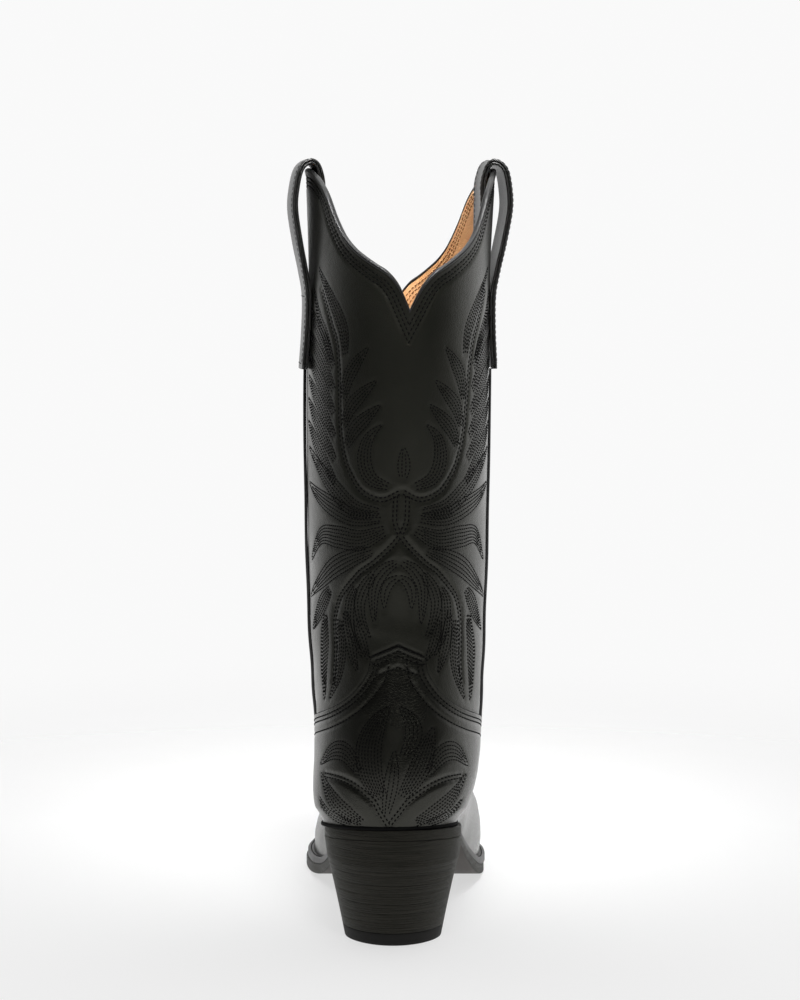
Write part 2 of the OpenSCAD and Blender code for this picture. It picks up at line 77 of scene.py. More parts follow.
SIDE_REACH = 35.0      # place of the side seams at the sole
ANKLE = 7              # level of the ankle; levels run from the sole (0) to the ears (11)
SEAM = 90.0            # column of the side seams, in degrees from the back
BACK = 0               # middle columns of the back and the front
FRONT = 180
LAP = 0.35             # levels by which the shaft goes down inside the foot pieces
GLUE = 0.05            # gap between glued pieces
SEAT_Z = HEEL_H + OUTSOLE_T
BALL_Z = OUTSOLE_T
TOE_Z = BALL_Z + SPRING
ANKLE_Z = SEAT_Z + ANKLE_RISE
LEVEL = (EAR - ANKLE_Z) / 4
TOE_Y = FOOT - HEEL_BACK
WALL = SHAFT_T + LINING_T
BALL_LINE = 0.68       # share of the foot's length at which the toe begins to lift
NOSE_ROUND = 0.064     # roundness of the toe in the sole's outline


# ---- the CAD's shape formulas, for whole arrays
def at_row(table, v):
    """The smooth curve through a table's rows, at row numbers v."""
    table = np.asarray(table, float)
    v = np.asarray(v, float)
    last = len(table) - 1
    i = np.clip(np.floor(v), 0, last - 1).astype(int)
    q, r = table[i], table[i + 1]
    wide = (slice(None),) * v.ndim + (None,) * (table.ndim - 1)
    p = np.where((i > 0)[wide], table[np.maximum(i - 1, 0)], 2 * q - r)
    s = np.where((i < last - 1)[wide], table[np.minimum(i + 2, last)], 2 * r - q)
    f = (v - i)[wide]
    return 0.5 * (2 * q + (r - p) * f + (2 * p - 5 * q + 4 * r - s) * f**2 + (3 * q - p - 3 * r + s) * f**3)


def smooth(a, b, v):
    """0 below a, 1 above b, and a soft step between."""
    f = np.clip((v - a) / (b - a), 0, 1)
    return f * f * (3 - 2 * f)


def mix(a, b, f):
    return a + (b - a) * f


def unit(v):
    return v / np.maximum(np.linalg.norm(v, axis=-1, keepdims=True), 1e-9)


seat_half = SEAT / 2
ball_half = BALL / 2
ankle_half = ANKLE_W / 2
shaft_half = SHAFT_W / 2
ANKLE_BACK = -30.5     # how far back the ankle and the shaft reach
SHAFT_BACK = -44.0
ankle_front = ANKLE_D + ANKLE_BACK
shaft_front_y = SHAFT_D + SHAFT_BACK
# half widths of the sole at eleven even places from heel to toe, and the rise of the seat there
lateral_half = ([seat_half * k for k in (0.9, 1, 1, 1)] + [0.6 * seat_half + 0.36 * ball_half]
                + [ball_half * k for k in (0.93, 1.02, 0.99, 0.77, 0.45, 0.12)])
medial_half = ([seat_half * k for k in (0.9, 1, 0.97, 0.88)] + [0.5 * seat_half + 0.26 * ball_half]
               + [ball_half * k for k in (0.76, 0.92, 0.98, 0.82, 0.5, 0.16)])
seat_share = [1, 0.935, 0.85, 0.655, 0.355, 0.11, 0.012, 0, 0, 0, 0]


# Each level: back, height at the back, front, height at the front, half width, roundness of the
# heel and of the nose, width in front as a share of the sole's, and a shift outwards.
def foot_level(back_out, rise, nose_back, front_rise, width, heel_r, nose_r, fore, shift):
    return [-HEEL_BACK - back_out, SEAT_Z + rise * ANKLE_RISE, TOE_Y - nose_back * FOOT,
            mix(TOE_Z, ANKLE_Z, front_rise), mix(seat_half, ankle_half, width), heel_r, nose_r, fore, shift]


def shaft_level(i, back_y, front_y, half, shift):
    return [back_y, ANKLE_Z + i * LEVEL, front_y, ANKLE_Z + i * LEVEL, half, 1, 1, 1, shift]


levels = [
    foot_level(0, 0, 0, 0, 0, 2 * seat_half / FOOT, NOSE_ROUND, 1, 0),
    foot_level(2.5, 0.1, 0.002, 0.048, 0.4, 0.25, 0.113, 1.01, 0.8),
    foot_level(3.5, 0.225, 0.053, 0.113, 0.62, 0.32, 0.21, 0.95, 2.1),
    foot_level(2.5, 0.363, 0.153, 0.178, 0.68, 0.39, 0.333, 0.84, 2.7),
    foot_level(-0.5, 0.51, 0.281, 0.25, 0.7, 0.48, 0.476, 0.72, 2.8),
    foot_level(-3, 0.667, 0.406, 0.356, 0.76, 0.62, 0.67, 0.65, 2.6),
    foot_level(-4, 0.833, 0.509, 0.589, 0.86, 0.8, 0.87, 0.7, 2.2),
    shaft_level(0, ANKLE_BACK, ankle_front, ankle_half, 1.7),
    shaft_level(1, -35, ankle_front - 4.5, shaft_half * 0.99, 1.8),
    shaft_level(2, -40, mix(ankle_front, shaft_front_y, 0.4) - 2.5, shaft_half, 2.1),
    shaft_level(3, SHAFT_BACK, shaft_front_y, shaft_half * 0.99, 2.7),
    shaft_level(4, -46.5, shaft_front_y + 2, shaft_half * 1.035, 3.6),
]
# the top edge from the middle to a side seam, and the top edges of the heel cover and the vamp
rim_rise = [0, 0.165, 0.262, 0.315, 0.37, 0.432, 0.52, 0.655, 0.815, 0.91, 0.962, 0.99, 1]
counter_line = [(0, 5.94), (8, 5.8), (16.5, 5.68), (18.5, 5.28), (23, 4.97), (30, 4.68), (37.5, 4.5),
                (45, 4.41), (52.5, 4.38), (60, 4.4), (67.5, 4.44), (75, 4.48), (82.5, 4.52), (90, 4.55)]
vamp_line = [6.85, 6.7, 6.3, 5.75, 5.4, 5.2, 5.02, 4.9, 4.81, 4.74, 4.68, 4.61, 4.55]


def fold(a):
    """Columns of the inner side as their mirror columns on the outer side."""
    m = np.asarray(a, float) % 360
    return np.minimum(m, 360 - m)


def outline_half(f, side):
    """Half width of the sole at a share f of its length."""
    return np.where(side > 0, at_row(lateral_half, 10 * f), at_row(medial_half, 10 * f))


def sole_z(y):
    """Height of the sole's upper face."""
    f = np.clip((np.asarray(y, float) + HEEL_BACK) / FOOT, -0.02, 1.02)
    return (BALL_Z + (SEAT_Z - BALL_Z) * at_row(seat_share, 10 * f)
            + SPRING * (np.maximum(f - BALL_LINE, 0) / (1 - BALL_LINE)) ** 2)


def sole_sag(y):
    return sole_z(y) - mix(SEAT_Z, TOE_Z, (y + HEEL_BACK) / FOOT)


def end_round(d, r):
    """Share of the full width at a distance d from an end rounded with radius r."""
    return np.where(d < r, np.sqrt(np.maximum(1 - (1 - d / r) ** 2, 0)), 1)


def skin(a, t):
    """Points of the shaft panels' outer face; column a in degrees from the back, level t from the sole."""
    a, t = np.broadcast_arrays(np.asarray(a, float), np.asarray(t, float))
    row = at_row(levels, t)
    m = a % 360
    side = np.where(m <= 180, 1, -1)
    c = fold(a)
    mid = (row[..., 0] + row[..., 2]) / 2
    half = (row[..., 2] - row[..., 0]) / 2
    ankle_mid = (levels[ANKLE][0] + levels[ANKLE][2]) / 2
    seam_y = np.where(t < ANKLE, mix(SIDE_REACH, ankle_mid, np.minimum(t / ANKLE, 1)), mid)
    turn = np.degrees(np.arccos(np.clip((mid - seam_y) / half, -1, 1)))
    th = np.where(c < SEAM, c * turn / SEAM, turn + (c - SEAM) * (180 - turn) / (180 - SEAM))
    y = mid - half * np.cos(np.radians(th))
    f = np.clip((y + HEEL_BACK) / FOOT, 0, 1)
    foot = outline_half(f, side)
    fore = smooth(0.25, 0.6, f) * (1 - smooth(5, ANKLE, t))
    w = mix(foot, mix(row[..., 4], row[..., 7] * foot, fore), np.clip(t, 0, 1))
    x = (side * w * end_round(y - row[..., 0], np.minimum(row[..., 5], 1) * half)
         * end_round(row[..., 2] - y, np.minimum(row[..., 6], 1) * half))
    sag = np.maximum(1 - t / ANKLE, 0) ** 1.6
    z = mix(row[..., 1], row[..., 3], (y - row[..., 0]) / (2 * half)) + sag * sole_sag(y)
    k = np.radians(TWIST * np.clip((z - ANKLE_Z + 20) / (EAR - BACK_DIP - ANKLE_Z + 20), -0.2, 1.2))
    return np.stack([row[..., 8] + x * np.cos(k) - (y - mid) * np.sin(k),
                     mid + x * np.sin(k) + (y - mid) * np.cos(k), z], -1)


def normal(a, t):
    """Outward direction of the leather."""
    da = 0.4
    dt = 0.02
    return unit(np.cross(skin(a + da, t) - skin(a - da, t), skin(a, t + dt) - skin(a, np.maximum(t - dt, 0))))


def relief(a, t):
    """Soft folds of worn leather, in mm out of the shape."""
    r = np.radians(a)
    z = t * 17.0
    wave = (np.sin(2.3 * r + 0.031 * z + 0.6 * np.sin(0.021 * z + r))
            * np.sin(0.047 * z + 1.3 * np.sin(1.7 * r)) + 0.5 * np.sin(5.1 * r - 0.05 * z + 1.1)
            * np.sin(0.083 * z + 2 * np.sin(2.2 * r + 0.7)))
    ankle = np.exp(-(((t - 6.6) / 1.3) ** 2)) * (0.35 + 0.65 * smooth(60, 150, fold(a)))
    crease = np.sin(0.36 * z + 1.1 * np.sin(2.1 * r) + 0.5 * r) * ankle
    fore = np.exp(-(((t - 3.2) / 1.6) ** 2)) * smooth(100, 150, fold(a))
    toe_crease = np.sin(0.5 * z + 1.4 * np.cos(3 * r)) * fore
    return 0.32 * wave * smooth(0.6, 2.5, t) + 0.38 * crease + 0.22 * toe_crease


def rim_at(a):
    """Level of the top edge."""
    c = fold(a)
    back = c <= SEAM
    d = np.where(back, c, 180 - c)
    dip = np.where(back, BACK_DIP, FRONT_DIP)
    return ANKLE + (EAR - dip * (1 - at_row(rim_rise, d / 7.5)) - ANKLE_Z) / LEVEL


def cover_edge(c):
    return np.interp(c, *zip(*counter_line))


def top_line(a):
    """Level of the top edge of the foot pieces; softened beside the heel cover's peak."""
    c = fold(a)
    soft = (cover_edge(c - 2.5) + cover_edge(c) + cover_edge(c + 2.5)) / 3
    cover = np.where(c < 21, cover_edge(c), soft)
    return np.where(c <= SEAM, cover, at_row(vamp_line, np.minimum(180 - c, 90) / 7.5))


# ---- stitch rows on the leather
# Each row of stitches is a path of columns and levels. The leather is pulled in along it.
PRESS_A = 0.5          # steps of the map of pulled-in leather, in degrees and mm
PRESS_Z = 0.5
MAP_COLS = 720
MAP_ROWS = 680
PRESS_REACH = 5        # how many steps away from its path a groove is worked out
pulled = np.zeros((MAP_COLS, MAP_ROWS))


def map_height(t):
    """Height of level t in the map, in mm; even steps above the sole and again above the ankle."""
    return np.where(t < ANKLE, t * ANKLE_RISE / ANKLE, ANKLE_RISE + (t - ANKLE) * LEVEL)


def level_of(h):
    return np.where(h < ANKLE_RISE, h * ANKLE / ANKLE_RISE, ANKLE + (h - ANKLE_RISE) / LEVEL)


def between(lo, hi, f):
    """The level a share f of the way from level lo to hi, in even steps of height."""
    return level_of(mix(map_height(lo), map_height(hi), f))


def pull_in(a, t, depth, width):
    """Press a groove depth mm deep into the map along a path."""
    ia = np.round(a / PRESS_A).astype(int)
    iz = np.round(map_height(t) / PRESS_Z).astype(int)
    step_a = np.linalg.norm(skin(a + PRESS_A, t) - skin(a, t), axis=-1)
    near = range(-PRESS_REACH, PRESS_REACH + 1)
    for da in near:
        for dz in near:
            away = (da * step_a) ** 2 + (dz * PRESS_Z) ** 2
            spot = ((ia + da) % MAP_COLS, np.clip(iz + dz, 0, MAP_ROWS - 1))
            np.maximum.at(pulled, spot, depth * np.exp(-away / (2 * width**2)))


def pulled_at(a, t):
    """How far the leather is pulled in, in mm."""
    fa = (np.asarray(a, float) % 360) / PRESS_A
    fz = np.clip(map_height(t) / PRESS_Z, 0, MAP_ROWS - 1.1)
    ia = np.floor(fa).astype(int)
    iz = np.floor(fz).astype(int)
    fa = fa - ia
    fz = fz - iz
    ja = (ia + 1) % MAP_COLS
    ia = ia % MAP_COLS
    low = mix(pulled[ia, iz], pulled[ja, iz], fa)
    high = mix(pulled[ia, iz + 1], pulled[ja, iz + 1], fa)
    return mix(low, high, fz)


def shift_path(a, t, d, steps=3):
    """The path (a, t) on the leather, moved d mm to its left on the surface, as seen from outside."""
    d = np.broadcast_to(np.asarray(d, float), a.shape) / steps
    for _ in range(steps):
        pa = (skin(a + 0.3, t) - skin(a - 0.3, t)) / 0.6
        pt = (skin(a, t + 0.02) - skin(a, t - 0.02)) / 0.04
        n = unit(np.cross(pa, pt))
        run = unit(np.gradient(a, axis=-1)[..., None] * pa + np.gradient(t, axis=-1)[..., None] * pt)
        side = np.cross(n, run)
        g11, g12, g22 = (pa * pa).sum(-1), (pa * pt).sum(-1), (pt * pt).sum(-1)
        b1, b2 = (side * pa).sum(-1), (side * pt).sum(-1)
        det = g11 * g22 - g12**2
        a = a + d * (g22 * b1 - g12 * b2) / det
        t = t + d * (g11 * b2 - g12 * b1) / det
    return a, t


# distance round the shaft, on an ellipse that stands for its section
ROUND_X = 43.0
ROUND_Y = 66.0
ROUND_STEP = 0.5
ROUND_A = np.linspace(0, 90, 181)
round_mid = np.radians(ROUND_A[1:] - ROUND_STEP / 2)
round_runs = np.hypot(ROUND_X * np.cos(round_mid), ROUND_Y * np.sin(round_mid)) * np.radians(ROUND_STEP)
ROUND_U = np.concatenate([[0], np.cumsum(round_runs)])


def level_at(a, z):
    """The level at which column a reaches height z."""
    a, z = np.broadcast_arrays(np.asarray(a, float), np.asarray(z, float))
    lo = np.full(a.shape, 3.0)
    hi = np.full(a.shape, 11.0)
    for _ in range(20):
        m = (lo + hi) / 2
        below = skin(a, m)[..., 2] < z
        lo = np.where(below, m, lo)
        hi = np.where(below, hi, m)
    return (lo + hi) / 2


def on_back(u, z):
    """Columns and levels of points u mm round from the middle of the back panel, at heights z."""
    a = np.interp(np.abs(u), ROUND_U, ROUND_A) * np.sign(u)
    return a, level_at(a, z)


def on_front(u, z):
    """The same on the front panel."""
    a = 180 - np.interp(np.abs(u), ROUND_U, ROUND_A) * np.sign(u)
    return a, level_at(a, z)


def on_cover(x, z):
    """Columns and levels of points x mm across from the middle of the heel cover, at heights z."""
    a, t = x * 1.8, np.full(np.shape(x), 3.0)
    for _ in range(14):
        p, mid = skin(a, t), skin(0 * a, t)
        pa = (skin(a + 0.5, t) - p) / 0.5
        pt = (skin(a, t + 0.03) - p) / 0.03
        across = pt[..., 0] - (skin(0 * a, t + 0.03) - mid)[..., 0] / 0.03
        e1, e2 = p[..., 0] - mid[..., 0] - x, p[..., 2] - z
        det = pa[..., 0] * pt[..., 2] - across * pa[..., 2]
        det = np.where(np.abs(det) < 1e-3, 1e-3, det)
        a = np.clip(a - 0.8 * np.clip((pt[..., 2] * e1 - across * e2) / det, -15, 15), -86, 86)
        t = np.clip(t - 0.8 * np.clip((pa[..., 0] * e2 - pa[..., 2] * e1) / det, -1, 1), 0.1, 6.5)
    return a, t


def on_vamp(u, t):
    """Points of the vamp, in degrees round from the toe's middle column, and levels."""
    return 180 + u, t


# Where each piece takes stitches
def panel_holds(a, t):
    return (t > top_line(a) + 0.06) & (t < rim_at(a) - 0.12) & (np.abs(fold(a) - SEAM) > 3)


def cover_holds(a, t):
    return (t > 0.25) & (t < top_line(a) - 0.3) & (fold(a) < 86)


def vamp_holds(a, t):
    return (t > 0.6) & (t < top_line(a) - 0.4)


# Kinds of stitch: the distance from one to the next, their length and radius, and the depth and
# width of the groove that they pull
HATCH_STITCH = dict(pitch=1.7, length=1.2, radius=0.26, depth=0.2, width=0.7)
LINE_STITCH = dict(pitch=2.1, length=1.4, radius=0.3, depth=0.55, width=0.9)
RIM_STITCH = dict(pitch=2.2, length=1.6, radius=0.28, depth=0.45, width=0.75)
SEAM_STITCH = dict(pitch=1.3, length=1.2, radius=0.16, depth=0.3, width=0.5)
EDGE_STITCH = dict(pitch=2.1, length=1.45, radius=0.3, depth=0.35, width=0.9)
STRAP_STITCH = dict(pitch=2.6, length=2.1, radius=0.22)
WELT_STITCH = dict(pitch=3.4, length=2.7, radius=0.32)
sewn = {}                        # piece name -> rows of (columns, levels, kept points, stitch, shift)


def sew_row(piece, a, t, keep, stitch, shift=0.0):
    """One row of stitches along a path, where keep is true."""
    if keep.any():
        pull_in(a[keep], t[keep], stitch["depth"], stitch["width"])
        sewn.setdefault(piece, []).append((a, t, keep, stitch, shift))


def curve(ctrl, n):
    """n points on the smooth curve through some control points."""
    return at_row(np.asarray(ctrl, float), np.linspace(0, len(ctrl) - 1, n))


def placed(ctrl, n, sign, place):
    """A smooth path through control points, as columns and levels."""
    c = np.asarray(ctrl, float)
    path = curve(np.column_stack(place(sign * c[:, 0], c[:, 1])), n)
    return path[:, 0], path[:, 1]


HATCH = 1.4                      # distance between the rows of stitches that fill a shape, in mm
LEAF_POINTS = 70
LINE_POINTS = 150
PAIR_APART = 1.7                 # distance between the two rows of an outline


def leaf(piece, ctrl, width, place, holds, sides=(1, -1)):
    """A flame-shaped fill: rows of short stitches that spread from a root and meet at a tip."""
    s = np.linspace(0, 1, LEAF_POINTS)
    spread = np.sin(math.pi * (0.1 + 0.9 * s)) ** 0.8
    rows = max(3, int(round(width / HATCH)))
    for sign in sides:
        a, t = placed(ctrl, LEAF_POINTS, sign, place)
        for k in range(rows):
            a2, t2 = shift_path(a, t, (k / (rows - 1) - 0.5) * width * spread, steps=2)
            outer = k in (0, rows - 1)
            least = 0.04 if outer else (0.54 if k % 2 else 0.29)      # inner rows stop short of the ends
            sew_row(piece, a2, t2, holds(a2, t2) & (spread > least), HATCH_STITCH, shift=0.5 * (k % 2))


def line_pair(piece, ctrl, place, holds):
    """An outline of two rows, on both sides of the middle."""
    for sign in (1, -1):
        a, t = placed(ctrl, LINE_POINTS, sign, place)
        for off in (-PAIR_APART / 2, PAIR_APART / 2):
            a2, t2 = shift_path(a, t, off)
            sew_row(piece, a2, t2, holds(a2, t2), LINE_STITCH)


# Shaft embroidery: mm round from the middle of the panel, and heights; a leaf runs from its root to its tip
stem = [(58, 303), (50, 293), (44.5, 285), (40.5, 279), (38, 269), (36.7, 259), (35.8, 248), (34.3, 236),
        (30.5, 224.5), (26, 217.5), (20.5, 211.5), (14, 208.3), (8.5, 207.6), (4, 209.3), (0, 211.5)]
link = [(2.8, 210), (2.9, 203), (2.6, 197), (0, 191)]
ogee = [(0, 191), (3.2, 187), (7.8, 182.5), (13, 178), (19, 174.3), (24, 170), (29.5, 165), (34, 160),
        (37.4, 152.5), (38.2, 145), (37.6, 137), (38, 129), (39, 121)]
shaft_leaves = [
    ([(43, 270), (51, 281), (59, 289), (69, 303)], 6),
    ([(33, 273), (36, 286), (47, 299), (62, 313)], 6.5),
    ([(33.5, 252), (30.5, 262), (26, 269), (19, 277)], 6.5),
    ([(32.5, 240), (28, 249), (22, 255), (14, 262)], 6.5),
    ([(30, 231), (25, 239), (19, 244.5), (11.5, 251)], 6.5),
    ([(6, 213.5), (14, 216.5), (18, 222), (18.8, 229), (16.5, 236), (10.5, 242)], 7),
    ([(10, 201.5), (24, 203), (38, 211), (54, 220), (74, 229)], 9),
    ([(9, 199), (24, 199), (40, 203), (56, 207), (75, 212)], 9),
    ([(7, 193.5), (20, 188.5), (36, 189), (52, 188), (69, 175)], 10),
    ([(13, 184), (26, 179.5), (39, 174), (54, 166), (75, 157)], 9),
    ([(42, 164), (50, 157), (58, 150), (69, 142)], 8),
    ([(47, 152), (49, 139), (50, 126), (48.5, 111)], 8),
    ([(33.5, 151), (32.5, 138), (35, 125), (42, 112.5)], 6.5),
    ([(29, 155), (27, 145), (24.5, 136), (21, 127)], 6),
    ([(22, 152), (20, 145), (17.5, 139), (14, 133)], 5),
    ([(0, 172), (4.5, 169), (6.5, 164), (6.5, 157)], 4.5),
    ([(1, 179), (8, 174), (12, 165), (11.5, 150)], 6),
    ([(12, 174), (18.5, 164), (19.5, 155), (13.5, 143.5)], 6),
    ([(22, 167), (26, 158), (25.5, 147), (18.5, 134)], 5.5),
]
FEATHERS = 6                     # the feathers outside the stem, one below the other
FEATHER_STEP = 10.6
for root in range(FEATHERS):
    tip_z = 294 - FEATHER_STEP * root
    feather = [(41.5 - 0.8 * root, tip_z - 27), (52, tip_z - 15), (64, tip_z - 7), (76, tip_z)]
    shaft_leaves.append((feather, 7.5))
for piece, place in (("shaft_back_embroidery", on_back), ("shaft_front_embroidery", on_front)):
    for path in (stem, ogee, link):
        line_pair(piece, path, place, panel_holds)
    for ctrl, width in shaft_leaves:
        leaf(piece, ctrl, width, place, panel_holds)
    leaf(piece, [(0.5, 217), (0.5, 224), (0, 232)], 5.5, place, panel_holds, sides=(1,))

# Heel cover embroidery: mm across from the middle, and heights
cover_middle_leaves = [
    ([(-4, 71), (-10, 82), (-11.5, 94), (-8.5, 104), (-3, 113)], 12),
    ([(4, 91), (8, 99), (7, 106), (1.5, 113)], 7.5),
    ([(4.5, 72), (10.5, 83), (14, 93), (16.7, 103)], 9.5),
    ([(-1.5, 64), (-1, 75), (-0.5, 84), (0, 94)], 6),
]
cover_side_leaves = [
    ([(15, 83), (21.5, 90.5), (27.5, 90), (33, 82.5)], 8.5),
    ([(11.5, 59.5), (20, 64), (27, 70), (32.5, 79)], 8),
    ([(16, 58.5), (22, 60), (27.5, 62.5), (32, 68)], 5),
]
cover_line = [(0, 58.5), (4, 64.5), (6.8, 69), (9.8, 72), (14, 75), (19, 77.5), (24.5, 78.8), (31, 78.5)]
line_pair("heel_cover_embroidery", cover_line, on_cover, cover_holds)
for ctrl, width in cover_middle_leaves:
    leaf("heel_cover_embroidery", ctrl, width, on_cover, cover_holds, sides=(1,))
for ctrl, width in cover_side_leaves:
    leaf("heel_cover_embroidery", ctrl, width, on_cover, cover_holds)

# Vamp embroidery: degrees round from the toe's middle column, and levels
vamp_leaves = [
    ([(0, 3.6), (5, 4.3), (8, 5.2), (2, 6.1)], 7),
    ([(3, 3.2), (12, 3.9), (19, 4.6), (22, 5.1)], 7),
    ([(4, 2.8), (17, 3.2), (29, 3.8), (36, 4.3)], 7),
    ([(4, 2.4), (20, 2.6), (36, 3.0), (48, 3.6)], 6),
]
for ctrl, width in vamp_leaves:
    leaf("vamp_embroidery", ctrl, width, on_vamp, vamp_holds)


def edge_rows(piece, mid, edge, offsets, holds, stitch):
    """Rows of stitches at set distances below an edge line, each meeting its mirror row in the middle."""
    for sign in (1, -1):
        c = np.linspace(-14, SEAM - 2.5, 330)
        slope = float(edge(mid + sign * 1.5) - edge(mid)) / 1.5
        level = np.where(c >= 0, edge(mid + sign * np.maximum(c, 0)), float(edge(mid)) + slope * c)
        for off in offsets:
            a2, t2 = shift_path(mid + sign * c, level, -sign * off, steps=4)
            own = ((a2 - mid) * sign > 0) & (np.abs(a2 - mid) < SEAM - 1.5)
            sew_row(piece, a2, t2, own & holds(a2, t2), stitch)


def anywhere(a, t):
    return t > 0.2


def below_top_line(a, t):
    return t < top_line(a) - 0.05


RIM_OFFSETS = (2.5, 4.3, 6.1)
EDGE_OFFSETS = (1.9, 3.8, 8.6)
SEAM_OFFSETS = (-0.7,)           # a fine row on the shaft just above the edge of the foot pieces
RIM_ROWS = {"shaft_back_rim_stitching": BACK, "shaft_front_rim_stitching": FRONT}
for piece, mid in RIM_ROWS.items():
    edge_rows(piece, mid, rim_at, RIM_OFFSETS, anywhere, RIM_STITCH)
for piece, mid in (("shaft_back_stitching", BACK), ("shaft_front_stitching", FRONT)):
    edge_rows(piece, mid, top_line, SEAM_OFFSETS, anywhere, SEAM_STITCH)
for piece, mid in (("heel_cover_stitching", BACK), ("vamp_stitching", FRONT)):
    edge_rows(piece, mid, top_line, EDGE_OFFSETS, below_top_line, EDGE_STITCH)


def leather(a, t, d=0.0):
    """Points d mm out of the panels' outer face, with its folds and the pull of its stitches."""
    a, t = np.broadcast_arrays(np.asarray(a, float), np.asarray(t, float))
    n = normal(a, t)
    return skin(a, t) + n * (np.asarray(d) + relief(a, t) - pulled_at(a, t))[..., None]


# ---- meshes
def new_mesh(name, verts, faces, covers=()):
    """A smooth-shaded piece of the root body, from points in mm."""
    me = bpy.data.meshes.new(name)
    me.from_pydata((np.asarray(verts, float) * MM).tolist(), [], [tuple(int(i) for i in f) for f in faces])
    me.validate()
    me.update()
    me.polygons.foreach_set("use_smooth", [True] * len(me.polygons))
    ob = bpy.data.objects.new(name, me)
    bpy.context.scene.collection.objects.link(ob)
    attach(ob, "root")
    if covers:
        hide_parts(*covers)
    return ob


def grid_faces(n, m, flip=False):
    """Quads between n rings of m points each; point j of ring i is number i * m + j."""
    i, j = [k.ravel() for k in np.meshgrid(np.arange(n - 1), np.arange(m), indexing="ij")]
    j2 = (j + 1) % m
    q = np.stack([i * m + j, (i + 1) * m + j, (i + 1) * m + j2, i * m + j2], 1)
    return (q[:, ::-1] if flip else q).tolist()


def tube(name, rings, covers):
    """A closed body from rings of points, with a flat cap at each end."""
    n, m = rings.shape[:2]
    caps = [list(range(m)), list(range(n * m - 1, (n - 1) * m - 1, -1))]
    return new_mesh(name, rings.reshape(-1, 3), grid_faces(n, m) + caps, covers)


INNER_ROWS = 40                  # rows on the inner face of a leather piece
EDGE_STEPS = 5                   # steps over its rolled top edge


def wrap_shell(node, cols, levels_from, levels_to, layer, rows, edge=0.35):
    """A leather piece over some columns, between two levels, with its top edge rolled over."""
    lo_t = levels_from(cols)
    hi_t = levels_to(cols)
    inner, outer = layer
    middle = (inner + outer) / 2
    half = (outer - inner) / 2
    # the outer face from the bottom up, over the edge, and down the inner face
    pts = [leather(cols, between(lo_t, hi_t, s), outer) for s in np.linspace(0, 1, rows)]
    up = unit(leather(cols, hi_t, middle) - leather(cols, hi_t - 0.04, middle))
    out = normal(cols, hi_t)
    for r in np.radians(np.linspace(25, 155, EDGE_STEPS)):
        pts.append(leather(cols, hi_t, middle) + out * half * math.cos(r) + up * edge * math.sin(r))
    pts += [leather(cols, between(lo_t, hi_t, s), inner) for s in np.linspace(1, 0, INNER_ROWS)]
    return tube(node + "_leather", np.stack(pts, 1), [node])


SHELL_GAP = 1.2                  # from the pieces to the side seams, in degrees: shaft,
FOOT_GAP = 0.02                  # foot pieces, which meet edge to edge,
LINING_GAP = 0.3                 # linings
BEAD_GAP = 0.6                   # and the bead of the rim
FINE_STEP = 0.75                 # from one column to the next
LINING_STEP = 1.5
SHAFT_LAYER = (-SHAFT_T, 0)      # inner and outer distance from the panels' outer face
FOOT_LAYER = (GLUE, VAMP_T)
LINING_LAYER = (-WALL, -SHAFT_T - GLUE)


def columns(mid, gap, step=FINE_STEP):
    """Even columns from side seam to side seam round a middle one."""
    reach = SEAM - gap
    return mid + np.linspace(-reach, reach, int(round(2 * reach / step)) + 1)


def low_foot(a):
    return np.full(np.shape(a), 0.07)


def lap_line(a):
    return top_line(a) - LAP


def under_lap(a):
    return lap_line(a) - 0.03


def lining_piece(node, mid, lo, hi, rows):
    return wrap_shell(node, columns(mid, LINING_GAP, LINING_STEP), lo, hi, LINING_LAYER, rows, 0.1)


SHELL_ROWS = (380, 380, 250, 200)
shells = [
    wrap_shell("shaft_back", columns(BACK, SHELL_GAP), lap_line, rim_at, SHAFT_LAYER, SHELL_ROWS[0]),
    wrap_shell("shaft_front", columns(FRONT, SHELL_GAP), lap_line, rim_at, SHAFT_LAYER, SHELL_ROWS[1]),
    wrap_shell("counter_cover", columns(BACK, FOOT_GAP), low_foot, top_line, FOOT_LAYER, SHELL_ROWS[2], 0.5),
    wrap_shell("vamp", columns(FRONT, FOOT_GAP), low_foot, top_line, FOOT_LAYER, SHELL_ROWS[3], 0.5),
]
linings = [
    lining_piece("shaft_lining_back", BACK, lap_line, rim_at, 90),
    lining_piece("shaft_lining_front", FRONT, lap_line, rim_at, 90),
    lining_piece("vamp_lining", FRONT, low_foot, under_lap, 60),
    lining_piece("heel_lining", BACK, low_foot, under_lap, 50),
]


# ---- rim bead and side piping
BEAD_OVER = 0.35                 # how far the bead stands out on each side of the wall
BEAD_ROUND = 1.25                # its half height


def bead(side, mid):
    """The rolled binding of the top edge."""
    cols = columns(mid, BEAD_GAP)
    t = rim_at(cols)
    n = normal(cols, t)
    up = unit(leather(cols, t) - leather(cols, t - 0.05))
    base = leather(cols, t, -WALL / 2) + up * 0.3
    rings = [base + up * (BEAD_OVER + BEAD_ROUND * math.sin(r)) + n * (WALL / 2 + BEAD_OVER) * math.cos(r)
             for r in np.radians(np.arange(16) * 22.5)]
    return tube("rim_bead_%s_roll" % side, np.stack(rings, 1), ["rim_bead_" + side])


